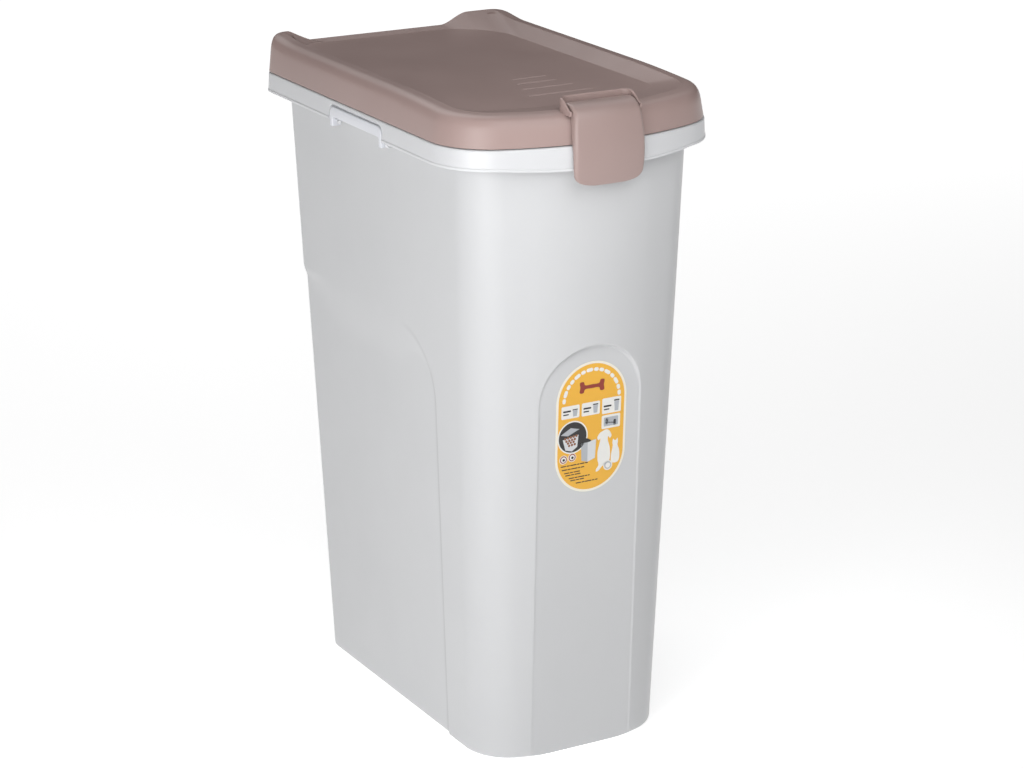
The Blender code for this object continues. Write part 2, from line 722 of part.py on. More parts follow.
def grip_bar(name, sign, material=None):
    """A grip seen from the side: a bar with rounded ends and two short legs."""
    half = GRIP_HALF_LENGTH
    corner = GRIP_CORNER
    foot = GRIP_AXIS_Z - GRIP_EYE_RADIUS
    leg = half - GRIP_LEG_WIDTH
    outline = [(half, foot)] + arc((half - corner, GRIP_TOP - corner), corner, 0, 90, 6)
    outline += arc((corner - half, GRIP_TOP - corner), corner, 90, 180, 6) + [(-half, foot), (-leg, foot)]
    inner = GRIP_INNER_CORNER
    outline += arc((inner - leg, GRIP_BAR_BOTTOM - inner), inner, 180, 90, 3)
    outline += arc((leg - inner, GRIP_BAR_BOTTOM - inner), inner, 90, 0, 3) + [(leg, foot)]
    centre = (sign * (GRIP_OUTER_X - GRIP_THICKNESS / 2), GRIP_Y, 0)
    return plate(name, outline, GRIP_THICKNESS, outline_facing("X", centre), material)


def grip_eye(side, sign, end, way):
    """The rounded eye that joins a leg's foot to its pin."""
    reach = GRIP_OUTER_X - GRIP_THICKNESS / 2 - GRIP_AXIS_X
    shape = arc((0, 0), GRIP_EYE_RADIUS, 90, 270, 8)
    shape += [(reach, -GRIP_EYE_RADIUS), (reach, GRIP_EYE_RADIUS)]
    outline = [(sign * x, z) for x, z in shape]
    y = GRIP_Y + way * (GRIP_HALF_LENGTH - GRIP_LEG_WIDTH / 2)
    placing = outline_facing("Y", (sign * GRIP_AXIS_X, y, GRIP_AXIS_Z))
    return plate(f"grip_eye_{side}_{end}", outline, GRIP_LEG_WIDTH, placing)


def make_grip(side, sign):
    """One grip with its eyes and their bores, turning about its pins."""
    grip = grip_bar(f"grip_{side}", sign, GRIP_PLASTIC)
    for end, way in (("front", -1), ("rear", 1)):
        combine(grip, grip_eye(side, sign, end, way), "UNION")
    axis = (sign * GRIP_AXIS_X, GRIP_Y, GRIP_AXIS_Z)
    bore = rod(f"eye_bore_{side}", axis, "Y", GRIP_PIN_RADIUS + GAP, 0.12)
    combine(grip, bore, "DIFFERENCE")
    put_origin(grip, axis)
    return grip


def make_grip_pins(side, sign):
    """The two short pins that a grip swings on, each through a cheek and an eye."""
    length = GRIP_LEG_WIDTH + SIDE_PLAY + CHEEK_THICKNESS
    for end, way in (("front", -1), ("rear", 1)):
        y = GRIP_Y + way * (GRIP_HALF_LENGTH - GRIP_LEG_WIDTH + length / 2)
        rod(f"grip_pin_{side}_{end}", (sign * GRIP_AXIS_X, y, GRIP_AXIS_Z), "Y", GRIP_PIN_RADIUS,
            length, PIN_PLASTIC, 16)


# ---------------------------------------------------------------- wheels

def make_wheel(side, sign):
    """A wheel turned about the axle: a hub, a web and a rounded tread."""
    half = WHEEL_WIDTH / 2
    bore = AXLE_RADIUS + GAP
    hub = HUB_RADIUS
    rim = WHEEL_RADIUS - TREAD_THICKNESS
    web = WEB_THICKNESS / 2
    profile = [(bore, half), (hub, half), (hub, web), (rim, web), (rim, half), (WHEEL_RADIUS - 0.0015, half),
               (WHEEL_RADIUS, half - 0.002), (WHEEL_RADIUS, 0.002 - half), (WHEEL_RADIUS - 0.0015, -half),
               (rim, -half), (rim, -web), (hub, -web), (hub, -half), (bore, -half)]
    mesh = bpy.data.meshes.new(f"wheel_{side}")
    form = bmesh.new()
    verts = [form.verts.new((radius, 0, height)) for radius, height in profile]
    for start, end in zip(verts, verts[1:] + verts[:1]):
        form.edges.new((start, end))
    form.to_mesh(mesh)
    form.free()
    wheel = add_object(f"wheel_{side}", mesh, WHEEL_PLASTIC)
    turned = wheel.modifiers.new("turned", "SCREW")
    turned.axis = "Z"
    turned.angle = math.radians(360)
    turned.steps = 40
    turned.render_steps = 40
    turned.use_merge_vertices = True
    turned.merge_threshold = 0.0001
    turned.use_smooth_shade = True
    wheel.rotation_euler = (0, math.radians(90), 0)
    wheel.location = (sign * WHEEL_X, WHEEL_Y, WHEEL_Z)
    return wheel


def make_axle():
    """The axle that snaps into the channel under the floor, and its two end caps."""
    rod("wheel_axle", (0, WHEEL_Y, WHEEL_Z), "X", AXLE_RADIUS - 0.0001, 2 * AXLE_HALF_LENGTH, AXLE_METAL)
    for side, sign in (("left", -1), ("right", 1)):
        inner = WHEEL_X + WHEEL_WIDTH / 2 + 0.0004
        centre = (sign * (inner + CAP_THICKNESS / 2), WHEEL_Y, WHEEL_Z)
        cap = rod(f"axle_cap_{side}", centre, "X", CAP_RADIUS, CAP_THICKNESS, WHEEL_PLASTIC)
        bore = rod(f"cap_bore_{side}", centre, "X", AXLE_RADIUS + 0.0002, 0.01)
        combine(cap, bore, "DIFFERENCE")


# ---------------------------------------------------------------- the whole bin

clear_scene()
PARTS = new_collection("pet_food_bin")
CUTTERS = new_collection("cutters")
BODY_PLASTIC = plastic("body_plastic", (0.62, 0.62, 0.64), 0.42)
RIM_PLASTIC = plastic("rim_plastic", (0.80, 0.80, 0.82), 0.40)
GRIP_PLASTIC = plastic("grip_plastic", (0.74, 0.75, 0.78), 0.40)
LID_PLASTIC = plastic("lid_plastic", (0.31, 0.22, 0.20), 0.45)
LATCH_PLASTIC = plastic("latch_plastic", (0.33, 0.24, 0.22), 0.42)
SEAL_RUBBER = plastic("seal_rubber", (0.70, 0.70, 0.68), 0.75)
LABEL_FILM = plastic("label_film", (0.82, 0.44, 0.05), 0.35)
WHEEL_PLASTIC = plastic("wheel_plastic", (0.03, 0.03, 0.03), 0.55)
AXLE_METAL = plastic("axle_metal", (0.45, 0.45, 0.46), 0.35, 1.0)
PIN_METAL = plastic("pin_metal", (0.55, 0.55, 0.56), 0.30, 1.0)
PIN_PLASTIC = plastic("pin_plastic", (0.80, 0.80, 0.80), 0.40)

make_body()
make_label()
make_rim()
make_seal()
the_lid = make_lid()
make_hinge_pins()
the_latch = make_latch()
the_latch_pin = make_latch_pin()
hang_on(the_latch, the_lid)
hang_on(the_latch_pin, the_lid)
for side_name, side_sign in (("left", -1), ("right", 1)):
    make_grip(side_name, side_sign)
    make_grip_pins(side_name, side_sign)
    make_wheel(side_name, side_sign)
make_axle()
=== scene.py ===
"""The looks of a pet food bin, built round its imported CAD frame.

The frame is +Z up with the floor at Z = 0. The latch and the label face -Y, and the hinge is at +Y.
Everything is in metres, and every piece is made in place and rides on its CAD body.
"""
import math
from collections import namedtuple

import bmesh
import bpy
import numpy as np
from mathutils import Matrix, Vector


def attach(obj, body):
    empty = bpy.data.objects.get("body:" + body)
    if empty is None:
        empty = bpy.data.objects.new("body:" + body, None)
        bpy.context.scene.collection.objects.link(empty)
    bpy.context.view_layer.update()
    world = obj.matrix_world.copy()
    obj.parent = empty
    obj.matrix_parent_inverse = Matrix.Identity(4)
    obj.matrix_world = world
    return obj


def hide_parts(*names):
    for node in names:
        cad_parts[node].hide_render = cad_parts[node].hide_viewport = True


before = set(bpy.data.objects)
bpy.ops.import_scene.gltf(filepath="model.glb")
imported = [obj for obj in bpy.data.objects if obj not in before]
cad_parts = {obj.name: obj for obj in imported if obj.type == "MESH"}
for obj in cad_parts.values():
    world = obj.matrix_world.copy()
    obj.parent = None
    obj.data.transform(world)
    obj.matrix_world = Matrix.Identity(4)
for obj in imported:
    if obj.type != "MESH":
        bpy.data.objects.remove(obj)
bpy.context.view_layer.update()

Plan = namedtuple("Plan", "half_width front rear bow front_corner rear_corner")

BASE_PLAN = Plan(0.0902, 0.165, 0.157, 0.200, 0.044, 0.018)
NECK_PLAN = Plan(0.1075, 0.184, 0.180, 0.215, 0.042, 0.012)
NECK_HEIGHT = 0.528
RIM_TOP = 0.5453
BEAD_TOP = 0.5535
LIP_FOOT = 0.5365
SKIRT_PLAN = Plan(0.1268, 0.1965, 0.193, 0.250, 0.057, 0.021)
LID_PLAN = Plan(0.1255, 0.194, 0.1915, 0.250, 0.056, 0.020)

BODY_TOP = 0.5427
WALL = 0.0024
FLOOR = 0.0028
FOOT_RADIUS = 0.004
RECESS_DEPTH = 0.0024
RECESS_TOP = 0.369
RECESS_FRONT = -0.086
RECESS_CORNER = 0.062
RECESS_EDGE = 0.0042
RECESS_FADE = 0.0460
RECESS_REAR_FADE = 0.0120
ARCH_HALF_WIDTH = 0.050
ARCH_TOP = 0.370
ARCH_FLOOR_Y = -0.1584
ARCH_SLOPE = 0.036
ARCH_EDGE = 0.0022

SIDES = (("left", -1), ("right", 1))
HINGE_Y = 0.2010
HINGE_Z = 0.5395
HINGE_X = 0.060
GRIP_Y = 0.006
GRIP_AXIS_X = 0.1200
GRIP_AXIS_Z = 0.5255
GRIP_HALF_LENGTH = 0.0475
GRIP_FACE_X = 0.1266
GRIP_TOP = 0.5400
LATCH_AXIS_Y = -0.1785
LATCH_AXIS_Z = 0.5750
WHEEL_X = 0.057
WHEEL_Y = 0.150
WHEEL_Z = 0.0205


# --- plans

def grow(plan, distance):
    """The outline parallel to a plan, a distance outside it."""
    return Plan(*(value + distance for value in plan))


def body_plan(height):
    """The body's outer outline at a height."""
    share = height / NECK_HEIGHT
    return Plan(*(a + (b - a) * share for a, b in zip(BASE_PLAN, NECK_PLAN)))


def smooth(low, high, value):
    """0 below low, 1 above high, and an even curve between, for numbers or arrays."""
    share = np.clip((value - low) / (high - low), 0.0, 1.0)
    return share * share * (3 - 2 * share)


def arc(centre, radius, start, end, steps):
    """Points along an arc, with both ends; angles are in degrees."""
    turns = np.radians(np.linspace(start, end, steps + 1))
    return np.column_stack([centre[0] + radius * np.cos(turns), centre[1] + radius * np.sin(turns)])


def disc(centre, radius, steps=36):
    """A round outline."""
    return arc(centre, radius, 0, 360, steps)[:-1]


def round_box(left, right, low, high, corner=1.2):
    """The outline of a box with rounded corners."""
    return np.concatenate([
        arc((right - corner, high - corner), corner, 0, 90, 6),
        arc((left + corner, high - corner), corner, 90, 180, 6),
        arc((left + corner, low + corner), corner, 180, 270, 6),
        arc((right - corner, low + corner), corner, 270, 360, 6)])


def line(start, end, steps):
    """Points inside a straight stretch, without its ends."""
    share = np.linspace(0, 1, steps + 1)[1:-1, None]
    return np.array(start) * (1 - share) + np.array(end) * share


Shape = namedtuple("Shape", "rear_x rear_y corner_x corner_y bow_y turn")


def shape_of(plan):
    """The centres of a plan's corners and bow, and the angle that its front corners turn through."""
    corner_x = plan.half_width - plan.front_corner
    bow_y = plan.bow - plan.front
    corner_y = bow_y - math.sqrt((plan.bow - plan.front_corner) ** 2 - corner_x ** 2)
    turn = math.degrees(math.atan2(bow_y - corner_y, corner_x))
    return Shape(plan.half_width - plan.rear_corner, plan.rear - plan.rear_corner,
                 corner_x, corner_y, bow_y, turn)


def outline(plan, side=48, rear=56, front=44, corner=22):
    """The plan's outline, anticlockwise from the rear end of its right side."""
    s = shape_of(plan)
    rear_arc = arc((s.rear_x, s.rear_y), plan.rear_corner, 0, 90, 10)
    left_arc = rear_arc[::-1] * (-1, 1)
    front_left = arc((-s.corner_x, s.corner_y), plan.front_corner, 180, 180 + s.turn, corner)
    bow = arc((0, s.bow_y), plan.bow, 180 + s.turn, 360 - s.turn, front)[1:-1]
    front_right = front_left[::-1] * (-1, 1)
    stretches = [rear_arc, line(rear_arc[-1], left_arc[0], rear), left_arc,
                 line(left_arc[-1], front_left[0], side), front_left, bow, front_right,
                 line(front_right[-1], rear_arc[0], side)]
    return np.concatenate(stretches)


def ring(plan, height, **counts):
    """The plan's outline at a height, which is a number or a function of x and y."""
    flat = outline(plan, **counts)
    rise = height(flat[:, 0], flat[:, 1]) if callable(height) else np.full(len(flat), height)
    return np.column_stack([flat, rise])


def rounded(rings, cuts, steps=4, closed=False):
    """Round the corners of the section that the rings run through.

    Each cut is how far from its corner the rounding starts; a cut of 0 keeps the corner sharp.
    """
    rows = []
    last = len(rings) - 1
    for number, (here, cut) in enumerate(zip(rings, cuts)):
        if cut == 0 or (not closed and number in (0, last)):
            rows.append(here)
            continue
        before = rings[number - 1] - here
        after = rings[(number + 1) % len(rings)] - here
        start = here + before * reach_of(before, cut)
        end = here + after * reach_of(after, cut)
        for share in np.linspace(0, 1, steps + 1):
            rows.append((1 - share) ** 2 * start + 2 * share * (1 - share) * here + share ** 2 * end)
    return rows


def reach_of(step, cut):
    """The share of each step that a cut takes, and no more than just under half of it."""
    length = np.maximum(np.linalg.norm(step, axis=1), 1e-9)
    return np.minimum(cut / length, 0.48)[:, None]


# --- meshes

def in_scene(name, data):
    """An object in the scene, made of a mesh, a light or a camera."""
    thing = bpy.data.objects.new(name, data)
    bpy.context.scene.collection.objects.link(thing)
    return thing


def finish_mesh(name, mesh, material, angle=35):
    """An object with smooth faces and sharp creases."""
    thing = in_scene(name, mesh)
    if material:
        mesh.materials.clear()
        mesh.materials.append(material)
    mesh.shade_smooth()
    mesh.set_sharp_from_angle(angle=math.radians(angle))
    return thing


def reshape(mesh, change):
    """Run a change on a mesh's editable form."""
    form = bmesh.new()
    form.from_mesh(mesh)
    change(form)
    form.to_mesh(mesh)
    form.free()


def mesh_of(name, verts, faces):
    """A mesh with its faces pointing out."""
    mesh = bpy.data.meshes.new(name)
    mesh.from_pydata([tuple(v) for v in verts], [], faces)
    reshape(mesh, lambda form: bmesh.ops.recalc_face_normals(form, faces=form.faces))
    return mesh


def skin_faces(rows, columns, closed=False):
    """Quads between rings of equal length, row after row."""
    faces = []
    for row in range(rows if closed else rows - 1):
        low = row * columns
        high = ((row + 1) % rows) * columns
        for here in range(columns):
            there = (here + 1) % columns
            faces.append((low + here, low + there, high + there, high + here))
    return faces


def loft(name, rings, material=None, closed=False, angle=35):
    """Skin rings of points. A closed loft joins its last ring to its first; an open one has caps."""
    columns = len(rings[0])
    faces = skin_faces(len(rings), columns, closed)
    if not closed:
        faces.append(tuple(range(columns)))
        faces.append(tuple(range((len(rings) - 1) * columns, len(rings) * columns)))
    return finish_mesh(name, mesh_of(name, np.concatenate(rings), faces), material, angle)


def round_ends(form, bevel):
    """Round the edges that lie square to Z."""
    edges = [edge for edge in form.edges if abs(edge.verts[0].co.z - edge.verts[1].co.z) < 1e-7]
    bmesh.ops.bevel(form, geom=edges, offset=bevel, segments=3, profile=0.5, affect="EDGES")


def plate(name, points, thickness, placing, material=None, bevel=0.0):
    """A flat outline given thickness about its own XY plane, with its edges rounded, then placed."""
    count = len(points)
    low = [(x, y, -thickness / 2) for x, y in points]
    high = [(x, y, thickness / 2) for x, y in points]
    faces = [tuple(range(count)), tuple(range(count, 2 * count))] + skin_faces(2, count)
    mesh = mesh_of(name, low + high, faces)
    if bevel:
        reshape(mesh, lambda form: round_ends(form, bevel))
    mesh.transform(placing)
    return finish_mesh(name, mesh, material)


def box(name, low, high):
    """A box between two corners, to cut or join with."""
    low, high = Vector(low), Vector(high)

    def fill(form):
        bmesh.ops.create_cube(form, size=1.0)
        for vert in form.verts:
            share = vert.co + Vector((0.5, 0.5, 0.5))
            vert.co = low + Vector(a * b for a, b in zip(share, high - low))

    mesh = bpy.data.meshes.new(name)
    reshape(mesh, fill)
    return finish_mesh(name, mesh, None)


def rod(name, centre, axis, radius, length, material=None, bevel=0.0, segments=48):
    """A cylinder about its centre, along the X or the Y axis, with rounded ends."""
    turn = Matrix.Rotation(math.radians(90), 4, "Y" if axis == "X" else "X")

    def fill(form):
        bmesh.ops.create_cone(form, cap_ends=True, segments=segments, radius1=radius, radius2=radius,
                              depth=length)
        if bevel:
            round_ends(form, bevel)
        bmesh.ops.transform(form, matrix=Matrix.Translation(centre) @ turn, verts=form.verts)

    mesh = bpy.data.meshes.new(name)
    reshape(mesh, fill)
    return finish_mesh(name, mesh, material)


def combine(target, steps, angle=35):
    """Cut solids out of a piece or join them on, in order, and throw the solids away."""
    for operation, tool in steps:
        step = target.modifiers.new(tool.name, "BOOLEAN")
        step.operation = operation
        step.solver = "EXACT"
        step.object = tool
    view = bpy.context.evaluated_depsgraph_get()
    mesh = bpy.data.meshes.new_from_object(target.evaluated_get(view))
    material = target.data.materials[0]
    target.modifiers.clear()
    target.data = mesh
    mesh.materials.clear()
    mesh.materials.append(material)
    mesh.shade_smooth()
    mesh.set_sharp_from_angle(angle=math.radians(angle))
    for _, tool in steps:
        bpy.data.objects.remove(tool, do_unlink=True)


def facing(axis, centre):
    """A matrix that stands an XY outline up: its X and Y become Y and Z, or X and Z."""
    if axis == "X":
        turn = Matrix(((0, 0, 1, 0), (1, 0, 0, 0), (0, 1, 0, 0), (0, 0, 0, 1)))
    else:
        turn = Matrix(((1, 0, 0, 0), (0, 0, -1, 0), (0, 1, 0, 0), (0, 0, 0, 1)))
    return Matrix.Translation(centre) @ turn


def place(piece, body, slot, *nodes):
    """Ride a finished piece on a CAD body, in place of the nodes that it stands for."""
    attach(piece, body)
    if nodes:
        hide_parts(*nodes)
    return piece


# --- materials

def nodes_of(material):
    """A material's node tree, emptied."""
    material.use_nodes = True
    material.node_tree.nodes.clear()
    return material.node_tree


def add(tree, kind, inputs=None, **properties):
    """A shader node with some of its inputs and properties set."""
    node = tree.nodes.new(kind)
    for name, value in properties.items():
        setattr(node, name, value)
    for name, value in (inputs or {}).items():
        if isinstance(value, bpy.types.NodeSocket):
            tree.links.new(value, node.inputs[name])
        else:
            node.inputs[name].default_value = value
    return node


def ramp(tree, source, *stops):
    """A grey ramp between two stops, fed by a socket; each stop is a position and a grey."""
    node = add(tree, "ShaderNodeValToRGB", {"Fac": source})
    for element, (position, grey) in zip(node.color_ramp.elements, stops):
        element.position = position
        element.color = (grey, grey, grey, 1)
    return node.outputs["Color"]


def noise(tree, coords, scale, detail, stretch=(1, 1, 1)):
    """Noise over the object's own coordinates, which are in metres."""
    mapping = add(tree, "ShaderNodeMapping", {"Scale": stretch, "Vector": coords})
    return add(tree, "ShaderNodeTexNoise", {"Scale": scale, "Detail": detail, "Roughness": 0.5,
                                            "Vector": mapping.outputs["Vector"]}).outputs["Fac"]


def mixed(tree, share, first, second):
    """A colour mixed by a socket from two colours, each a socket or a constant."""
    first, second = (colour if isinstance(colour, bpy.types.NodeSocket) else (*colour, 1)
                     for colour in (first, second))
    factor_index, first_index, second_index = 0, 6, 7
    node = add(tree, "ShaderNodeMix", {factor_index: share, first_index: first, second_index: second},
               data_type="RGBA")
    return node.outputs[2]


GLOSS_SPREAD = 0.03


def moulded(name, colour, dark, roughness, relief=0.00002, specular=0.45, crease_shade=False, metallic=0.0):
    """Moulded plastic, rubber or metal: faint mottling, a fine grain, uneven gloss, sink marks and, where
    asked, painted shade along the body's recess edge.
    """
    material = bpy.data.materials.new(name)
    tree = nodes_of(material)
    coords = add(tree, "ShaderNodeTexCoord").outputs["Object"]
    cloud = noise(tree, coords, 9.0, 3.0)
    flow = noise(tree, coords, 30.0, 3.0, (1, 1, 0.25))
    base = mixed(tree, ramp(tree, cloud, (0.30, 0.0), (0.70, 1.0)), dark, colour)
    base = mixed(tree, ramp(tree, flow, (0.45, 0.0), (0.75, 0.35)), base, colour)
    gloss = ramp(tree, noise(tree, coords, 22.0, 2.0),
                 (0.30, roughness - GLOSS_SPREAD), (0.70, roughness + GLOSS_SPREAD))
    # Painted shade: the colour darkens towards 0.8 of the dark tone where the mesh's stored shade attribute
    # is high, along the recess's front edge.
    if crease_shade:
        edge_shade = add(tree, "ShaderNodeAttribute", attribute_name="crease_shade").outputs["Fac"]
        base = mixed(tree, ramp(tree, edge_shade, (0.0, 0.0), (1.0, 1.0)), base,
                     tuple(0.80 * value for value in dark))
    grain = add(tree, "ShaderNodeBump", {"Strength": 0.5, "Distance": relief,
                                         "Height": noise(tree, coords, 700.0, 2.0)})
    sink = add(tree, "ShaderNodeBump", {"Strength": 0.35, "Distance": 0.0006,
                                        "Height": noise(tree, coords, 14.0, 1.0),
                                        "Normal": grain.outputs["Normal"]})
    shader = add(tree, "ShaderNodeBsdfPrincipled", {
        "Metallic": metallic, "Specular IOR Level": specular, "Base Color": base, "Roughness": gloss,
        "Normal": sink.outputs["Normal"]})
    add(tree, "ShaderNodeOutputMaterial", {"Surface": shader.outputs["BSDF"]})
    return material


# --- body

def body_columns():
    """Where the body's columns of points are: their y along the sides, and their x across the bow."""
    recess = np.linspace(RECESS_FRONT - 0.0010, RECESS_FRONT + RECESS_EDGE + 0.0044, 22)
    bend = np.linspace(recess[-1] + 0.0014, RECESS_FRONT + RECESS_CORNER, 36)
    flat = np.linspace(bend[-1] + 0.006, 0.128, 12)
    side = np.concatenate([recess, bend, flat])
    edge = np.linspace(ARCH_HALF_WIDTH - ARCH_EDGE - 0.0008, ARCH_HALF_WIDTH + 0.0008, 8)
    panel = np.linspace(0, edge[0], 36)[:-1]
    rest = np.array([ARCH_HALF_WIDTH + 0.0026])
    bow = np.concatenate([panel, edge, rest])
    return side, np.concatenate([-bow[:0:-1], bow])


SIDE_COLUMNS, BOW_COLUMNS = body_columns()


def body_outline(plan):
    """The body's outline with columns that stay on the recess's and the arch's edges.

    The side's columns keep their y, and the bow's keep their x, at every height.
    """
    s = shape_of(plan)
    rear_arc = arc((s.rear_x, s.rear_y), plan.rear_corner, 0, 90, 10)
    left_arc = rear_arc[::-1] * (-1, 1)
    front_left = arc((-s.corner_x, s.corner_y), plan.front_corner, 180, 180 + s.turn, 26)
    left_side = np.column_stack([np.full(len(SIDE_COLUMNS), -plan.half_width), SIDE_COLUMNS[::-1]])
    bow_y = s.bow_y - np.sqrt(plan.bow ** 2 - BOW_COLUMNS ** 2)
    bow = np.column_stack([BOW_COLUMNS, bow_y])
    return np.concatenate([rear_arc, line(rear_arc[-1], left_arc[0], 40), left_arc, left_side, front_left,
                           bow, front_left[::-1] * (-1, 1), left_side[::-1] * (-1, 1)])


def recess_at(y, z):
    """How far into the shallow side recess a place is, and how much painted shade it gets along the recess's
    crisp front edge.

    The recess starts crisply at the front and fades in softly below its top.
    """
    inside = np.minimum(y - RECESS_FRONT, RECESS_TOP - z)
    across = y - (RECESS_FRONT + RECESS_CORNER)
    above = z - (RECESS_TOP - RECESS_CORNER)
    corner = (across < 0) & (above > 0)
    inside = np.where(corner, RECESS_CORNER - np.hypot(across, above), inside)
    upward = np.where(corner, np.arctan2(above, -across) / math.radians(90), across >= 0)
    upward = upward * upward
    fade = RECESS_FADE + (RECESS_REAR_FADE - RECESS_FADE) * smooth(0.100, 0.150, y)
    share = np.clip(inside / (RECESS_EDGE + (fade - RECESS_EDGE) * upward), 0.0, 1.0)
    crisp = 1 - (1 - share) ** 2 * (1 + 0.4 * share)
    # Painted shade: a band about 4 mm wide just inside the recess's crisp front edge, fading out towards its
    # soft top, stands in for the shade at the step's foot.
    edge_shade = np.clip(1 - np.abs(inside - RECESS_EDGE) / 0.0042, 0.0, 1.0) * (1 - upward)
    return crisp * (1 - upward) + share * share * (3 - 2 * share) * upward, edge_shade


def arch_share(x, z):
    """How far into the arched front panel a place is."""
    crown = ARCH_TOP - ARCH_HALF_WIDTH
    inside = np.where(z > crown, ARCH_HALF_WIDTH - np.hypot(x, z - crown), ARCH_HALF_WIDTH - np.abs(x))
    return smooth(0.0, ARCH_EDGE, inside)


def body_ring(height, inset=0.0, pull=0.0):
    """One level of the body's skin, with the recess and the arched panel pressed into it."""
    plain = body_outline(grow(body_plan(height), -inset - pull))
    deep = body_outline(grow(body_plan(height), -inset - pull - RECESS_DEPTH))
    rear_half = plain[:, 1] > RECESS_FRONT - 0.004
    share = (recess_at(plain[:, 1], height)[0] * rear_half)[:, None]
    flat = plain * (1 - share) + deep * share
    panel_y = ARCH_FLOOR_Y - ARCH_SLOPE * height + inset
    front = (flat[:, 1] < ARCH_FLOOR_Y + 0.03) & (flat[:, 1] < panel_y)
    press = arch_share(flat[:, 0], height) * front
    flat[:, 1] += (panel_y - flat[:, 1]) * press
    return np.column_stack([flat, np.full(len(flat), height)])


def body_rings():
    """The skin's levels: up the outside, over the top edge, and down the inside to the floor."""
    rings = []
    for turn in np.radians([0, 18, 36, 54, 72]):
        rise = FOOT_RADIUS * (1 - math.cos(turn))
        rings.append(body_ring(rise, 0.0, FOOT_RADIUS * (1 - math.sin(turn))))
    levels = [np.linspace(FOOT_RADIUS, 0.292, 22), np.arange(0.2945, 0.3745, 0.0008),
              np.linspace(0.376, BODY_TOP, 12)]
    rings += [body_ring(height) for height in np.concatenate(levels)]
    rings += [body_ring(BODY_TOP, WALL)]
    inner = np.concatenate([np.linspace(0.526, 0.376, 6), np.arange(0.3732, 0.300, -0.0026),
                            np.linspace(0.298, 0.008, 12)])
    rings += [body_ring(height, WALL) for height in inner]
    rings.append(body_ring(FLOOR + 0.0016, WALL, 0.0004))
    rings.append(body_ring(FLOOR, WALL, 0.0020))
    return rings


def wheel_space_steps():
    """Walls for the two wheel wells and the axle's channel, and the cuts that hollow them."""
    steps = []
    cuts = []
    for side, sign in SIDES:
        near, far = sorted((sign * 0.0441, sign * 0.0739))
        steps.append(("UNION", box(f"well_wall_{side}", (near, 0.1251, 0.0020), (far, 0.1525, 0.0459))))
        near, far = sorted((sign * 0.0465, sign * 0.0715))
        cuts.append(("DIFFERENCE", box(f"well_{side}", (near, 0.1275, -0.02), (far, 0.30, 0.0435))))
    low = (-0.0450, WHEEL_Y - 0.0070, 0.0020)
    steps.append(("UNION", box("channel_wall", low, (0.0450, 0.1525, 0.0284))))
    cuts.append(("DIFFERENCE", box("channel", (-0.0475, WHEEL_Y - 0.0046, -0.02),
                                   (0.0475, WHEEL_Y + 0.0046, 0.0260))))
    return steps + cuts


def paint_crease_shade(mesh):
    """Store on each point how close it is to the recess's crisp front edge, as painted shade that darkens
    the colour there as if the step's foot lay in shade.
    """
    spots = np.array([vertex.co for vertex in mesh.vertices])
    edge_shade = recess_at(spots[:, 1], spots[:, 2])[1] * (np.abs(spots[:, 0]) > 0.08)
    mesh.attributes.new("crease_shade", "FLOAT", "POINT").data.foreach_set("value", edge_shade.astype(np.float32))


def make_body(material):
    """The thin-walled body with its recesses, its arched panel and its wheel spaces."""
    body = loft("body_shell", body_rings(), material, angle=40)
    combine(body, wheel_space_steps(), angle=40)
    paint_crease_shade(body.data)
    return place(body, "bin", "body_plastic", "bin_body")


# --- rim

def skirt_bottom(x, y):
    """The skirt's lower edge, which dips a little at the front."""
    share = np.maximum(0.0, 1 - (x / 0.090) ** 2)
    return 0.528 - 0.0035 * share * smooth(-0.10, -0.16, y)


def skirt(rise):
    """A height that follows the skirt's lower edge, a little above it."""
    return lambda x, y: skirt_bottom(x, y) + rise


def rim_rings():
    """The rim's section, from the skirt's foot round to it again, with every corner rounded.

    Each row is a plan, how far outside it the point is, its height, and how much is rounded off it.
    """
    edge = body_plan(BODY_TOP)
    low_edge = body_plan(LIP_FOOT)
    section = [
        (SKIRT_PLAN, 0.0, skirt(0.0), 0.0006), (SKIRT_PLAN, 0.0001, skirt(0.0020), 0.0004),
        (SKIRT_PLAN, -0.0005, skirt(0.0026), 0.0003), (SKIRT_PLAN, -0.0012, RIM_TOP, 0.0016),
        (edge, 0.0045, RIM_TOP, 0.0004), (edge, 0.0042, BEAD_TOP, 0.0006), (edge, 0.0026, BEAD_TOP, 0.0006),
        (edge, 0.0024, RIM_TOP, 0.0004), (edge, -0.0050, RIM_TOP, 0.0008),
        (low_edge, -0.0050, LIP_FOOT, 0.0004), (low_edge, -0.0028, LIP_FOOT, 0.0003),
        (edge, -0.0028, 0.5430, 0.0), (edge, 0.0004, 0.5430, 0.0), (low_edge, 0.0004, LIP_FOOT, 0.0003),
        (edge, 0.0026, LIP_FOOT, 0.0004), (edge, 0.0026, 0.5432, 0.0005),
        (SKIRT_PLAN, -0.0034, 0.5432, 0.0008), (SKIRT_PLAN, -0.0022, skirt(0.0), 0.0005),
    ]
    rows = [ring(grow(plan, out), height) for plan, out, height, _ in section]
    return rounded(rows, [row[3] for row in section], 3, closed=True)


def notch_cutter(side, sign):
    """The notch in the skirt that a grip lies in."""
    half = GRIP_HALF_LENGTH + 0.0016
    corner = 0.008
    outline_points = np.concatenate([
        [(half, 0.518)], arc((half - corner, 0.542 - corner), corner, 0, 90, 10),
        arc((corner - half, 0.542 - corner), corner, 90, 180, 10), [(-half, 0.518)]])
    return plate(f"notch_{side}", outline_points, 0.012, facing("X", (sign * 0.1265, GRIP_Y, 0)))


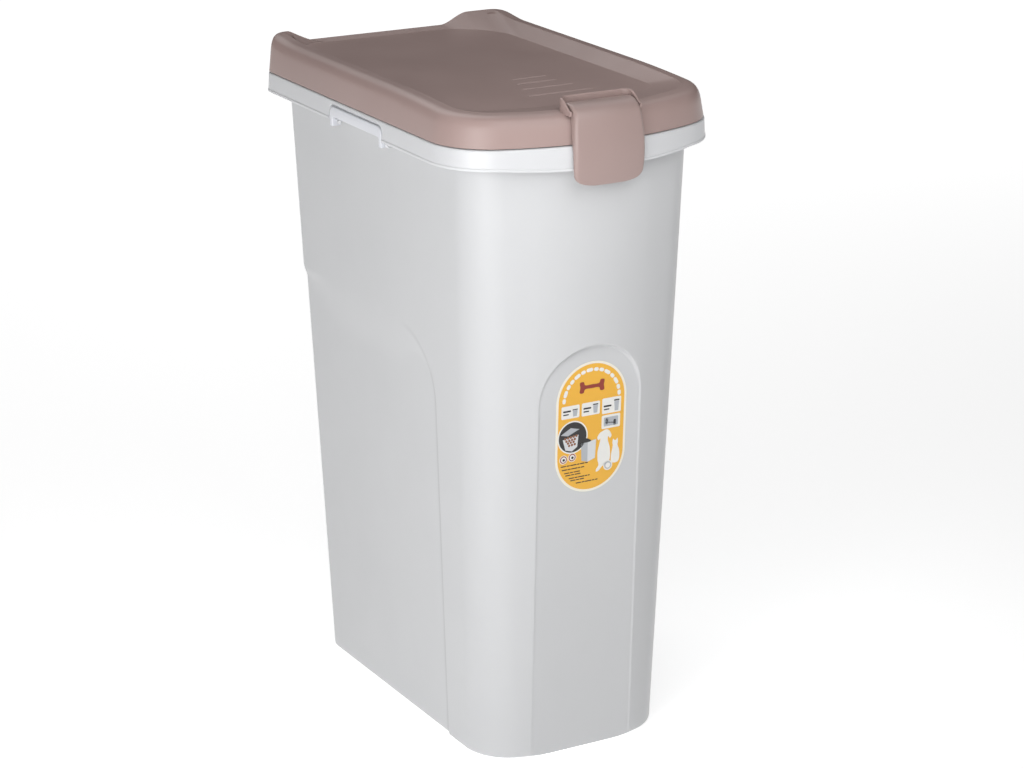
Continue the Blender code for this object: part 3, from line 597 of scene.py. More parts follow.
def grip_cheeks(side, sign):
    """The two rounded cheeks that carry a grip's pins."""
    root = 0.5441 - GRIP_AXIS_Z
    shape = np.concatenate([[(0.003, root)], arc((0, 0), 0.003, 0, -180, 20), [(-0.003, root)]])
    cheeks = []
    for end, way in (("front", -1), ("rear", 1)):
        y = GRIP_Y + way * (GRIP_HALF_LENGTH + 0.0025)
        cheeks.append(plate(f"cheek_{side}_{end}", shape, 0.0036,
                            facing("Y", (sign * GRIP_AXIS_X, y, GRIP_AXIS_Z)), bevel=0.0004))
    return cheeks


def hinge_lugs(side, sign):
    """The two lugs on the rim's rear that hold one hinge pin."""
    root_y = SKIRT_PLAN.rear - 0.0020 - HINGE_Y
    shape = np.concatenate([[(root_y, -0.0062), (0, -0.0058)], arc((0, 0), 0.0058, -80, 100, 24),
                            [(root_y, 0.0046)]])
    lugs = []
    for end, way in (("inner", -1), ("outer", 1)):
        x = sign * HINGE_X + way * 0.0135
        lugs.append(plate(f"lug_{side}_{end}", shape, 0.0060, facing("X", (x, HINGE_Y, HINGE_Z)),
                          bevel=0.0005))
    return lugs


def make_rim(material):
    """The rim frame: one closed ring with its bead, notches, cheeks and hinge lugs."""
    rim = loft("rim_band", rim_rings(), material, closed=True)
    steps = []
    for side, sign in SIDES:
        steps.append(("DIFFERENCE", notch_cutter(side, sign)))
        steps += [("UNION", solid) for solid in grip_cheeks(side, sign) + hinge_lugs(side, sign)]
        grip_axis = (sign * GRIP_AXIS_X, GRIP_Y, GRIP_AXIS_Z)
        steps.append(("DIFFERENCE", rod(f"grip_bore_{side}", grip_axis, "Y", 0.0018, 0.111)))
        hinge_axis = (sign * HINGE_X, HINGE_Y, HINGE_Z)
        steps.append(("DIFFERENCE", rod(f"hinge_bore_{side}", hinge_axis, "X", 0.0023, 0.05)))
    combine(rim, steps)
    return place(rim, "bin", "rim_plastic", "rim_frame")


# --- lid

LID_BOTTOM = 0.546
LID_WALL = 0.0022
DECK_HEIGHT = 0.566
DECK_PLAN = Plan(0.0925, 0.140, 0.1790, 0.250, 0.030, 0.014)
DECK_WIDE_CORNER = 0.058
RAIL_HEIGHT = 0.5704
RAIL_FRONT_RISE = 0.0044
RAIL_REAR_RISE = 0.0034
COLLAR_TOP = 0.5814
COLLAR_END_DIP = 0.0088
COLLAR_FOOT = 0.5690
LID_COUNTS = {"side": 70, "rear": 90, "front": 50, "corner": 24}


def rail_height(x, y, rear_top=0.5685, opening=(0.052, 0.080, 0.084, 0.102)):
    """The top of the lid's edge: rails along both sides, a low front, and a rear open between them."""
    rail = (RAIL_HEIGHT + RAIL_FRONT_RISE * smooth(-0.215, -0.050, y)
            + RAIL_REAR_RISE * smooth(0.145, 0.190, y))
    right_start, right_end, left_start, left_end = opening
    share = (1 - smooth(right_start, right_end, x)) * (1 - smooth(left_start, left_end, -x))
    return rail + (rear_top - rail) * share * smooth(0.150, 0.172, y)


def lid_edge(side_inset, rear_inset, drop):
    """The lid's outline drawn in at the sides and at the rear, a drop below the rail's top."""
    plan = grow(LID_PLAN, -side_inset)
    plan = plan._replace(rear=LID_PLAN.rear - rear_inset, rear_corner=max(plan.rear_corner, 0.006))
    return ring(plan, lambda x, y: rail_height(x, y) - drop, **LID_COUNTS)


def deck_ring(inset, height):
    """The deck's outline: its rear right corner is much wider than its rear left one."""
    plan = grow(DECK_PLAN, -inset)
    rows = ring(plan, height, **LID_COUNTS)
    wide = DECK_WIDE_CORNER - inset
    centre = (plan.half_width - wide, plan.rear - wide)
    rows[:11, :2] = arc(centre, wide, 0, 22, 10)
    last = 10 + LID_COUNTS["rear"]
    bend = int(LID_COUNTS["rear"] * 0.36)
    rows[10:11 + bend, :2] = arc(centre, wide, 22, 90, bend)
    rows[10 + bend:last + 1, 0] = np.linspace(centre[0], rows[last, 0], last - 9 - bend)
    side_count = LID_COUNTS["side"]
    rows[-side_count:, 1] = np.linspace(rows[-side_count, 1], centre[1], side_count + 1)[:-1]
    return rows


def lid_rings():
    """The lid's section: up the outside, over the rail, down to the deck and back underneath."""
    section = [
        (ring(LID_PLAN, LID_BOTTOM, **LID_COUNTS), 0.0005),
        (lid_edge(0.0032, 0.0012, 0.0078), 0.0040),
        (lid_edge(0.0062, 0.0022, 0.0026), 0.0022),
        (lid_edge(0.0112, 0.0036, 0.0004), 0.0030),
        (lid_edge(0.0176, 0.0044, 0.0002), 0.0006),
        (lid_edge(0.0190, 0.0046, 0.0000), 0.0010),
        (deck_ring(0.0, DECK_HEIGHT), 0.0010),
        (deck_ring(0.0035, DECK_HEIGHT), 0.0),
    ]
    under = [
        (deck_ring(0.0035, DECK_HEIGHT - LID_WALL), 0.0),
        (deck_ring(0.0003, DECK_HEIGHT - LID_WALL), 0.0008),
        (lid_edge(0.0198, 0.0064, 0.0004 + LID_WALL), 0.0008),
        (lid_edge(0.0120, 0.0052, LID_WALL), 0.0008),
        (lid_edge(0.0058, 0.0036, 0.0090), 0.0012),
        (ring(grow(LID_PLAN, -LID_WALL), LID_BOTTOM, **LID_COUNTS), 0.0005),
    ]
    return section, under


def lid_shell(material):
    """The lid's shell, with the deck's upper and lower faces closed separately."""
    section, under = lid_rings()
    both = section + under
    rows = rounded([rows for rows, _ in both], [cut for _, cut in both], 4, closed=True)
    columns = len(rows[0])
    faces = skin_faces(len(rows), columns, closed=True)
    top = next(number for number, row in enumerate(rows) if row is section[-1][0])
    faces = [face for face in faces if face[0] // columns != top]
    faces.append(tuple(range(top * columns, (top + 1) * columns)))
    faces.append(tuple(range((top + 1) * columns, (top + 2) * columns)))
    return finish_mesh("lid_shell", mesh_of("lid_shell", np.concatenate(rows), faces), material)


def lid_rib():
    """The rib inside the lid that presses on the seal; its top is buried in the shell."""
    outer = grow(body_plan(BODY_TOP), -0.0002)
    inner = grow(outer, -0.0020)

    def buried(x, y):
        return rail_height(x, y, DECK_HEIGHT + 0.0006, (0.075, 0.100, 0.090, 0.104)) - LID_WALL / 2

    rows = [ring(outer, 0.549), ring(outer, buried), ring(inner, buried), ring(inner, 0.549)]
    return loft("lid_rib", rows, closed=True)


def latch_collar():
    """The thin U-shaped wall round the latch's barrel, with a rounded lip that dips at its two ends."""
    reach, back, corner, half = 0.0329, -0.1701, 0.0079, 0.0011
    right = np.column_stack([np.full(9, reach), np.linspace(-0.1912, back - corner, 10)[:-1]])
    bend = arc((reach - corner, back - corner), corner, 0, 90, 14)
    path = np.concatenate([right, bend, line(bend[-1], bend[-1] * (-1, 1), 16), bend[::-1] * (-1, 1),
                           right[::-1] * (-1, 1)])
    heading = np.gradient(path, axis=0)
    heading /= np.linalg.norm(heading, axis=1)[:, None]
    across = np.column_stack([heading[:, 1], -heading[:, 0]])
    lip = arc((0, 0), half, 0, 180, 8)
    rows = []
    for point, side in zip(path, across):
        top = COLLAR_TOP - COLLAR_END_DIP * float(smooth(0.1755, 0.1925, -point[1])) - half
        section = np.concatenate([[(half, COLLAR_FOOT - top)], lip, [(-half, COLLAR_FOOT - top)]])
        rows.append(np.column_stack([point[0] + side[0] * section[:, 0], point[1] + side[1] * section[:, 0],
                                     top + section[:, 1]]))
    return loft("latch_collar", rows, angle=50)


def lid_knuckle(side, sign):
    """The lid's knuckle between two of the rim's lugs, with the arm that joins it to the rear wall."""
    wall_y = LID_PLAN.rear - 0.0016 - HINGE_Y
    clear_y = SKIRT_PLAN.rear + 0.0012 - HINGE_Y
    shape = np.concatenate([
        arc((0, 0), 0.0058, -175, 20, 24),
        [(0.0052, 0.0120), (0.0043, 0.0150), (0.0010, 0.0185), (wall_y, 0.0210), (wall_y, 0.0078),
         (clear_y, 0.0072)]])
    return plate(f"knuckle_{side}", shape, 0.0200, facing("X", (sign * HINGE_X, HINGE_Y, HINGE_Z)),
                 bevel=0.0005)


def deck_grooves():
    """Four shallow finger grooves in the deck: steep in front, sloping behind and fading to the right."""
    grooves = []
    for number, (start, end, y) in enumerate([(0.002, 0.036, -0.038), (-0.004, 0.036, -0.055),
                                              (-0.010, 0.042, -0.075), (-0.018, 0.048, -0.099)]):
        rows = []
        for x, depth in ((start - 0.0016, 0.0), (start, 0.0013), (end, -0.0001)):
            rows.append(np.array([(x, y - 0.0026, 0.0001), (x, y - 0.0018, -depth), (x, y - 0.0010, -depth),
                                  (x, y + 0.0024, 0.0001), (x, y + 0.0024, 0.003), (x, y - 0.0026, 0.003)]))
        grooves.append(loft(f"groove_{number}", [row + (0, 0, DECK_HEIGHT) for row in rows]))
    return grooves


def sharpen_grooves(mesh):
    """Keep every edge of the deck's grooves crisp, so that their shallow walls catch the light."""
    co = np.array([vert.co for vert in mesh.vertices])
    inside = (np.abs(co[:, 0]) < 0.055) & (np.abs(co[:, 1] + 0.07) < 0.037)
    inside &= (co[:, 2] > DECK_HEIGHT - 0.0018) & (co[:, 2] < DECK_HEIGHT + 0.0004)
    for edge in mesh.edges:
        if inside[edge.vertices[0]] and inside[edge.vertices[1]]:
            edge.use_edge_sharp = True


def make_lid(material):
    """The lid with its rib, its latch collar, its grooves and its hinge knuckles."""
    lid = lid_shell(material)
    steps = [("UNION", lid_rib()), ("UNION", latch_collar())]
    for side, sign in SIDES:
        steps.append(("UNION", lid_knuckle(side, sign)))
        axis = (sign * HINGE_X, HINGE_Y, HINGE_Z)
        steps.append(("DIFFERENCE", rod(f"lid_bore_{side}", axis, "X", 0.0023, 0.04)))
    steps.append(("DIFFERENCE", rod("collar_bore", (0, LATCH_AXIS_Y, LATCH_AXIS_Z), "X", 0.0016, 0.0662)))
    steps += [("DIFFERENCE", groove) for groove in deck_grooves()]
    combine(lid, steps)
    sharpen_grooves(lid.data)
    return place(lid, "lid", "lid_plastic", "lid")


# --- latch

LATCH_BOW = 0.250
LATCH_PATH = [
    (-0.1768, 0.57700, 0.0300, 0.0022), (-0.1776, 0.57750, 0.0302, 0.0024),
    (-0.1800, 0.57765, 0.0304, 0.0026), (-0.1850, 0.57735, 0.0305, 0.0030),
    (-0.1890, 0.57660, 0.0306, 0.0036), (-0.1920, 0.57540, 0.0307, 0.0046),
    (-0.1942, 0.57390, 0.0308, 0.0056), (-0.1960, 0.57200, 0.0309, 0.0066),
    (-0.1974, 0.56950, 0.0311, 0.0072),
    (-0.1984, 0.56600, 0.0316, 0.0072), (-0.1996, 0.55950, 0.0322, 0.0066),
    (-0.2008, 0.55300, 0.0327, 0.0062), (-0.2017, 0.54600, 0.0330, 0.0056),
    (-0.2022, 0.53900, 0.0330, 0.0048), (-0.2021, 0.53200, 0.0329, 0.0044),
    (-0.2015, 0.52500, 0.0326, 0.0040), (-0.2009, 0.52000, 0.0321, 0.0036),
    (-0.2006, 0.51780, 0.0312, 0.0034), (-0.2003, 0.51600, 0.0298, 0.0032),
    (-0.2000, 0.51440, 0.0276, 0.0030), (-0.1997, 0.51330, 0.0246, 0.0028),
    (-0.1994, 0.51250, 0.0206, 0.0026), (-0.1991, 0.51190, 0.0156, 0.0024),
]


def latch_row(station, along):
    """One closed section across the latch: its bowed face, its rounded edges and its two flanges.

    The bow fades out towards the pin, so that the latch's corners clear the lid when it is open.
    """
    y, z, half_width, depth = station
    inward = np.array([0.0, -along[1], along[0]])
    wall = 0.0022
    deep = max(depth, wall + 0.0002)
    fillet = min(0.0034, 0.7 * deep)
    reach = half_width - fillet
    face_x = np.linspace(-reach, reach, 29)
    turns = np.radians(np.linspace(90, 0, 7)[1:])
    edge_x = reach + fillet * np.cos(turns)
    edge_d = fillet - fillet * np.sin(turns)
    outer_x = np.concatenate([-edge_x[::-1], face_x, edge_x])
    outer_d = np.concatenate([edge_d[::-1], np.zeros(29), edge_d])
    inner_x = np.linspace(half_width - wall, wall - half_width, 27)
    loop_x = np.concatenate([outer_x, [half_width, half_width - 0.0006, half_width - wall + 0.0004,
                                       half_width - wall], inner_x,
                             [wall - half_width, wall - half_width - 0.0004, 0.0006 - half_width,
                              -half_width]])
    tip = [deep - 0.0005, deep, deep, deep - 0.0004]
    loop_d = np.concatenate([outer_d, tip, np.full(27, wall), tip[::-1]])
    bow = loop_x ** 2 / (2 * LATCH_BOW) * smooth(0.1768, 0.1890, -y)
    base = np.column_stack([loop_x, y + bow, np.full(len(loop_x), z)])
    return base + inward * loop_d[:, None]


def latch_rows():
    """The latch's sections along its path, each square to the path."""
    rows = []
    for number, station in enumerate(LATCH_PATH):
        ahead = LATCH_PATH[min(number + 1, len(LATCH_PATH) - 1)]
        behind = LATCH_PATH[max(number - 1, 0)]
        along = np.array([ahead[0] - behind[0], ahead[1] - behind[1]])
        rows.append(latch_row(station, along / np.linalg.norm(along)))
    return rows


def make_latch(material):
    """The latch: a bowed shell with rounded edges and a barrel round its pin."""
    latch = loft("latch_shell", latch_rows(), material, angle=50)
    axis = (0, LATCH_AXIS_Y, LATCH_AXIS_Z)
    combine(latch, [("UNION", rod("latch_barrel", axis, "X", 0.0025, 0.0608)),
                    ("DIFFERENCE", rod("latch_bore", axis, "X", 0.0016, 0.09))], angle=50)
    return place(latch, "latch", "latch_plastic", "latch")


def make_latch_pin(material):
    """The latch's pin, which ends inside the collar's sides."""
    pin = rod("latch_rod", (0, LATCH_AXIS_Y, LATCH_AXIS_Z), "X", 0.0013, 0.0656, material, bevel=0.0003)
    return place(pin, "lid", "pin_metal", "latch_pin")


# --- grips

def grip_outline():
    """A grip seen from the side: a bar with rounded ends and two short legs."""
    half = GRIP_HALF_LENGTH
    corner = 0.0065
    foot = GRIP_AXIS_Z - 0.0028
    leg = half - 0.0042
    inner = 0.0020
    return np.concatenate([
        [(half, foot)], arc((half - corner, GRIP_TOP - corner), corner, 0, 90, 12),
        arc((corner - half, GRIP_TOP - corner), corner, 90, 180, 12), [(-half, foot), (-leg, foot)],
        arc((inner - leg, 0.5310 - inner), inner, 180, 90, 6),
        arc((leg - inner, 0.5310 - inner), inner, 90, 0, 6), [(leg, foot)]])


def make_grip(side, sign, material):
    """One side grip with an eye at each leg's foot, and their bores."""
    centre = (sign * (GRIP_FACE_X - 0.0020), GRIP_Y, 0)
    grip = plate(f"grip_bar_{side}", grip_outline(), 0.0040, facing("X", centre), material, bevel=0.0009)
    reach = GRIP_FACE_X - 0.0020 - GRIP_AXIS_X
    steps = []
    for end, way in (("front", -1), ("rear", 1)):
        shape = np.concatenate([arc((0, 0), 0.0028, 90, 270, 20), [(reach, -0.0028), (reach, 0.0028)]])
        shape = shape * (sign, 1)
        y = GRIP_Y + way * (GRIP_HALF_LENGTH - 0.0021)
        eye = plate(f"eye_{side}_{end}", shape, 0.0041, facing("Y", (sign * GRIP_AXIS_X, y, GRIP_AXIS_Z)),
                    bevel=0.0004)
        steps.append(("UNION", eye))
    axis = (sign * GRIP_AXIS_X, GRIP_Y, GRIP_AXIS_Z)
    steps.append(("DIFFERENCE", rod(f"eye_bore_{side}", axis, "Y", 0.0018, 0.12)))
    combine(grip, steps)
    return place(grip, f"grip_{side}", "grip_plastic", f"grip_{side}")


# --- wheels

def wheel_section():
    """Half of a wheel's section, as radius and distance along the axle, from bore to tread and back."""
    return [(0.0043, 0.0080), (0.0070, 0.0080), (0.0075, 0.0074), (0.0078, 0.0034), (0.0086, 0.0030),
            (0.0146, 0.0030), (0.0154, 0.0034), (0.0157, 0.0074), (0.0162, 0.0080), (0.0180, 0.0080),
            (0.0190, 0.0072), (0.0195, 0.0058), (0.0195, 0.0020), (0.0190, 0.0014)]


def make_wheel(side, sign, material):
    """A wheel with a hub, a web, a rounded tread and a groove round the middle of the tread."""
    half = wheel_section()
    profile = half + [(radius, -across) for radius, across in half[::-1]]
    steps = 72
    rows = []
    for radius, across in profile:
        turns = np.radians(np.arange(steps) * 360 / steps)
        rows.append(np.column_stack([np.full(steps, sign * WHEEL_X + across),
                                     WHEEL_Y + radius * np.cos(turns), WHEEL_Z + radius * np.sin(turns)]))
    wheel = loft(f"wheel_turned_{side}", rows, material, closed=True, angle=40)
    holes = []
    for number in range(6):
        turn = math.radians(60 * number)
        centre = (sign * WHEEL_X, WHEEL_Y + 0.0116 * math.cos(turn), WHEEL_Z + 0.0116 * math.sin(turn))
        holes.append(("DIFFERENCE", rod(f"wheel_hole_{side}_{number}", centre, "X", 0.0024, 0.02,
                                        segments=24)))
    combine(wheel, holes, angle=40)
    return place(wheel, f"wheel_{side}", "wheel_plastic", f"wheel_{side}")


# --- label

LABEL_X = 0.0015
LABEL_Z = 0.296
LAYER = 0.00007


def stadium(half_width, half_height, steps=32):
    """An upright outline with round ends."""
    straight = half_height - half_width
    return np.concatenate([arc((0, straight), half_width, 0, 180, steps),
                           arc((0, -straight), half_width, 180, 360, steps)])


def pill(start, end, width):
    """A short bar with round ends between two points."""
    start, end = np.array(start), np.array(end)
    heading = math.degrees(math.atan2(end[1] - start[1], end[0] - start[0]))
    return np.concatenate([arc(start, width / 2, heading + 90, heading + 270, 8),
                           arc(end, width / 2, heading - 90, heading + 90, 8)])


def flowing(points, steps=5):
    """A smooth closed outline through points."""
    points = np.array(points, float)
    out = []
    for number in range(len(points)):
        a, b, c, d = (points[(number + shift) % len(points)] for shift in (-1, 0, 1, 2))
        for t in np.arange(steps) / steps:
            out.append(0.5 * (2 * b + (c - a) * t + (2 * a - 5 * b + 4 * c - d) * t * t
                              + (3 * b - a - 3 * c + d) * t ** 3))
    return np.array(out)


def bin_icon(left, low, width, height):
    """A small bin seen from the front: a tapered body and a lid over it."""
    right = left + width
    inset = width * 0.12
    body = [(left + inset, low), (right - inset, low), (right, low + height * 0.84),
            (left, low + height * 0.84)]
    lid = [(left - inset * 0.6, low + height * 0.87), (right + inset * 0.6, low + height * 0.87),
           (right + inset * 0.2, low + height), (left - inset * 0.2, low + height)]
    return np.array(body), np.array(lid)


def bone(centre, half_length, radius):
    """A plain bone outline."""
    x, y = centre
    r = radius
    h = half_length
    return flowing([(x - h + r, y + 0.45 * r), (x, y + 0.42 * r), (x + h - r, y + 0.45 * r),
                    (x + h - 0.6 * r, y + 1.2 * r), (x + h + 0.3 * r, y + 1.1 * r), (x + h + 0.2 * r, y),
                    (x + h + 0.3 * r, y - 1.1 * r), (x + h - 0.6 * r, y - 1.2 * r),
                    (x + h - r, y - 0.45 * r), (x, y - 0.42 * r), (x - h + r, y - 0.45 * r),
                    (x - h + 0.6 * r, y - 1.2 * r), (x - h - 0.3 * r, y - 1.1 * r), (x - h - 0.2 * r, y),
                    (x - h - 0.3 * r, y + 1.1 * r), (x - h + 0.6 * r, y + 1.2 * r)])


def title_arc():
    """A row of round-ended dashes along the label's upper end, in place of a title."""
    dashes = []
    turn = 176.0
    for length in (3.0, 7.0, 3.0, 3.0, 7.0, 3.0, 7.0, 3.0, 3.0, 7.0, 3.0, 7.0, 3.0, 3.0):
        first, last = np.radians(turn), np.radians(turn - length)
        middle = np.array((0.0, 24.0))
        ends = [middle + 26.8 * np.array((math.cos(t), math.sin(t))) for t in (first, last)]
        dashes.append(pill(ends[0], ends[1], 3.2))
        turn -= length + 8.5
    return dashes


def dog():
    """A plain sitting dog seen from behind."""
    return flowing([(11.5, -6.0), (15.5, -5.0), (18.6, -7.0), (20.4, -11.0), (19.0, -13.2), (17.2, -11.4),
                    (17.0, -15.0), (18.8, -21.0), (19.6, -28.0), (18.8, -33.5), (16.2, -36.2),
                    (12.0, -37.6), (8.6, -41.0), (6.0, -41.4), (6.4, -39.0), (8.4, -36.0), (7.4, -31.0),
                    (7.2, -24.0), (8.8, -17.0), (9.6, -12.4), (7.8, -13.6), (6.6, -11.0), (8.6, -7.6)])


def cat():
    """A plain sitting cat seen from behind."""
    return flowing([(22.2, -14.6), (23.6, -16.0), (25.2, -16.0), (26.4, -14.4), (27.0, -18.0),
                    (26.6, -20.6), (28.2, -25.0), (28.8, -31.0), (27.6, -35.4), (24.0, -36.4),
                    (20.8, -35.0), (20.4, -30.0), (21.2, -25.0), (22.0, -20.6), (21.6, -18.0)])


def size_boxes():
    """Three white boxes with a bin of growing size and two bars each, and a fourth with two wheels."""
    white, grey, dark = [], [], []
    for number, (left, right, low, high) in enumerate([(-29.0, -11.6, 10.6, 21.8), (-9.4, 8.2, 10.4, 22.0),
                                                       (10.4, 28.8, 9.2, 23.0)]):
        white.append(round_box(left, right, low, high))
        tall = 6.4 + 1.8 * number
        body, lid = bin_icon(right - 6.6, low + 1.4, 4.6, tall)
        grey.append(body)
        dark.append(lid)
        dark.append(pill((left + 2.2, low + 6.6), (left + 8.4, low + 6.6), 1.5))
        dark.append(pill((left + 2.2, low + 3.8), (left + 6.6, low + 3.8), 1.1))
    white.append(round_box(10.4, 28.4, -4.2, 7.8))
    grey.append(round_box(12.4, 26.4, -2.2, 5.8, 0.8))
    dark.append(pill((15.4, 3.6), (15.4, 0.8), 2.6))
    dark.append(pill((23.2, 1.8), (23.2, -1.0), 2.6))
    dark.append(pill((15.4, 1.4), (23.2, 0.0), 0.9))
    return white, grey, dark


def round_picture():
    """A dark disc with an open bin full of kibble, on a white ring."""
    centre = np.array((-17.6, -6.6))
    white = [disc(centre, 14.6, 48)]
    black = [disc(centre, 13.4, 48)]
    pot = [centre + point for point in ((-9.6, -1.0), (5.6, 1.6), (4.6, -9.0), (-0.4, -12.4), (-6.8, -10.6))]
    flap = [centre + point for point in ((-11.6, 3.4), (-2.0, 8.6), (6.4, 6.4), (-4.6, 1.8))]
    kibble = []
    for row in range(4):
        for column in range(5):
            x = -7.2 + 2.7 * column + 1.2 * (row % 2)
            y = -0.4 - 2.3 * row + 0.35 * column
            if abs(x + 1.4) < 6.6 - 0.9 * row:
                kibble.append(disc(centre + (x, y), 1.15, 10))
    return white, black, np.array(pot), np.array(flap), kibble


def small_bin():
    """A pale bin with its dark lid standing open, and a scoop's handle beside it."""
    body = np.array([(-9.4, -13.6), (5.4, -12.0), (4.6, -28.6), (-2.6, -31.0), (-8.4, -29.2)])
    lid = flowing([(-9.8, -12.8), (-10.6, -9.6), (-4.2, -9.6), (0.6, -12.4), (-3.0, -13.4)], 3)
    side = np.array([(-2.8, -13.4), (5.4, -12.0), (4.6, -28.6), (-2.6, -31.0)])
    return body, lid, side


def small_print():
    """Short dark lines near the label's foot, in place of small print."""
    rows = [(-28.0, -1.6, -31.6), (-27.0, -5.0, -34.8), (-24.6, -8.0, -38.0), (-23.4, -8.6, -40.2),
            (-20.0, 0.6, -43.2), (-18.4, -5.0, -45.4), (-13.0, 8.4, -48.4)]
    lines = []
    for left, right, height in rows:
        start = left
        for length in (5.2, 3.1, 6.3, 2.4, 4.6, 5.5):
            end = min(start + length, right)
            if end - start > 1.2:
                lines.append(pill((start, height), (end - 0.9, height + 0.05), 0.85))
            start = end + 0.4
    return lines


def label_placing():
    """The frame of the label's face: X across it, Y up it and Z out of it, in metres."""
    lean = Matrix.Rotation(math.atan(ARCH_SLOPE), 4, "X")
    foot = Matrix.Translation((LABEL_X, ARCH_FLOOR_Y, 0))
    rise = Matrix.Translation((0, 0, LABEL_Z / math.cos(math.atan(ARCH_SLOPE))))
    return foot @ lean @ rise @ facing("Y", (0, 0, 0))


def film(name, shapes, level, material, thickness=LAYER):
    """A set of thin printed shapes, in millimetres, stacked at a level above the label's foot."""
    verts, faces = [], []
    low = 0.00008 + level * LAYER
    for shape in shapes:
        start = len(verts)
        count = len(shape)
        verts += [(x / 1000, y / 1000, low) for x, y in shape]
        verts += [(x / 1000, y / 1000, low + thickness) for x, y in shape]
        faces.append(tuple(range(start, start + count)))
        faces.append(tuple(range(start + count, start + 2 * count)))
        faces += [tuple(start + corner for corner in face) for face in skin_faces(2, count)]
    mesh = mesh_of(name, verts, faces)
    mesh.transform(label_placing())
    mesh.update()
    piece = finish_mesh(name, mesh, material, angle=30)
    return place(piece, "bin", "label_film")


def make_label(inks):
    """The stadium-shaped label with generic pictures and dashes and no lettering."""
    white, grey, dark = size_boxes()
    ring_white, black, pot, flap, kibble = round_picture()
    body, lid, side = small_bin()
    icons = [(-26.0, -25.4), (-17.6, -24.6)]
    white += ring_white + title_arc() + [dog(), cat(), disc((17.6, -37.6), 4.4)]
    white += [disc(centre, 3.9) for centre in icons]
    base = film("label_base", [stadium(34.0, 58.0)], 0, inks["cream"], 3 * LAYER)
    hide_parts("label")
    film("label_field", [stadium(31.9, 55.9)], 3, inks["orange"])
    film("label_white", white, 4, inks["white"])
    film("label_black", black + dark + small_print(), 5, inks["black"])
    film("label_grey", grey + [body, disc((17.6, -37.6), 3.4)], 5, inks["grey"])
    film("label_rust", [bone((0.0, 36.0), 10.6, 4.0)], 5, inks["rust"])
    film("label_icon_rings", [disc(centre, 3.3) for centre in icons], 5, inks["rust"])
    film("label_icon_discs", [disc(centre, 2.4) for centre in icons] + [disc((17.6, -37.6), 2.3)], 6,
         inks["white"])
    film("label_icon_marks", [disc((x + 0.2, y - 0.2), 1.2) for x, y in icons] + [lid], 7, inks["black"])
    film("label_picture_pot", [pot, side], 6, inks["pale"])
    film("label_picture_flap", [flap], 6, inks["grey"])
    film("label_kibble", kibble, 7, inks["kibble"])


# --- light, floor and camera

def soft_light(name, azimuth, elevation, distance, width, height, power):
    """A rectangular soft light that looks at the middle of the bin from a direction."""
    data = bpy.data.lights.new(name, "AREA")
    data.shape = "RECTANGLE"
    data.size = width
    data.size_y = height
    data.energy = power
    lamp = in_scene(name, data)
    turn, rise = math.radians(azimuth), math.radians(elevation)
    back = Vector((math.cos(turn) * math.cos(rise), math.sin(turn) * math.cos(rise), math.sin(rise)))
    lamp.location = Vector((0, 0, 0.30)) + back * distance
    lamp.rotation_mode = "QUATERNION"
    lamp.rotation_quaternion = back.to_track_quat("Z", "Y")


def make_floor():
    """A plain, nearly white floor that also gives off some light of its own, and more behind the bin."""
    mesh = bpy.data.meshes.new("floor")
    reshape(mesh, lambda form: bmesh.ops.create_grid(form, x_segments=1, y_segments=1, size=30.0))
    material = bpy.data.materials.new("floor_white")
    tree = nodes_of(material)
    spot = add(tree, "ShaderNodeNewGeometry").outputs["Position"]
    behind = add(tree, "ShaderNodeVectorMath", {0: spot, 1: (0.49, 0.87, 0.0)}, operation="DOT_PRODUCT")
    share = add(tree, "ShaderNodeMapRange", {
        "Value": behind.outputs["Value"], "From Min": 0.2, "From Max": 3.0},
        interpolation_type="SMOOTHSTEP")
    shader = add(tree, "ShaderNodeBsdfPrincipled", {
        "Base Color": (0.80, 0.80, 0.80, 1), "Roughness": 0.9, "Specular IOR Level": 0.0,
        "Emission Color": ramp(tree, share.outputs["Result"], (0.0, 0.62), (1.0, 1.03)),
        "Emission Strength": 1.0})
    add(tree, "ShaderNodeOutputMaterial", {"Surface": shader.outputs["BSDF"]})
    mesh.materials.append(material)
    in_scene("floor", mesh)


def make_world():
    """An even pale surround."""
    world = bpy.data.worlds.new("surround")
    world.use_nodes = True
    bpy.context.scene.world = world
    background = world.node_tree.nodes["Background"]
    background.inputs["Color"].default_value = (0.97, 0.98, 1.0, 1)
    background.inputs["Strength"].default_value = 0.03


def make_camera():
    """The camera at the photograph's angle."""
    turn, rise = math.radians(-29.5229), math.radians(18.1985)
    back = Vector((math.sin(turn) * math.cos(rise), -math.cos(turn) * math.cos(rise), math.sin(rise)))
    data = bpy.data.cameras.new("camera")
    data.sensor_width = 36.0
    data.lens = 105.61
    camera = in_scene("camera", data)
    camera.location = (-1.22479, -2.20109, 1.11330)
    camera.rotation_mode = "QUATERNION"
    camera.rotation_quaternion = (-back).to_track_quat("-Z", "Y")
    bpy.context.scene.camera = camera


def show_cad_nodes(materials):
    """Give the CAD nodes that stay in view their materials."""
    for name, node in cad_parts.items():
        if name in materials:
            node.data.materials.clear()
            node.data.materials.append(materials[name])


# --- the whole bin

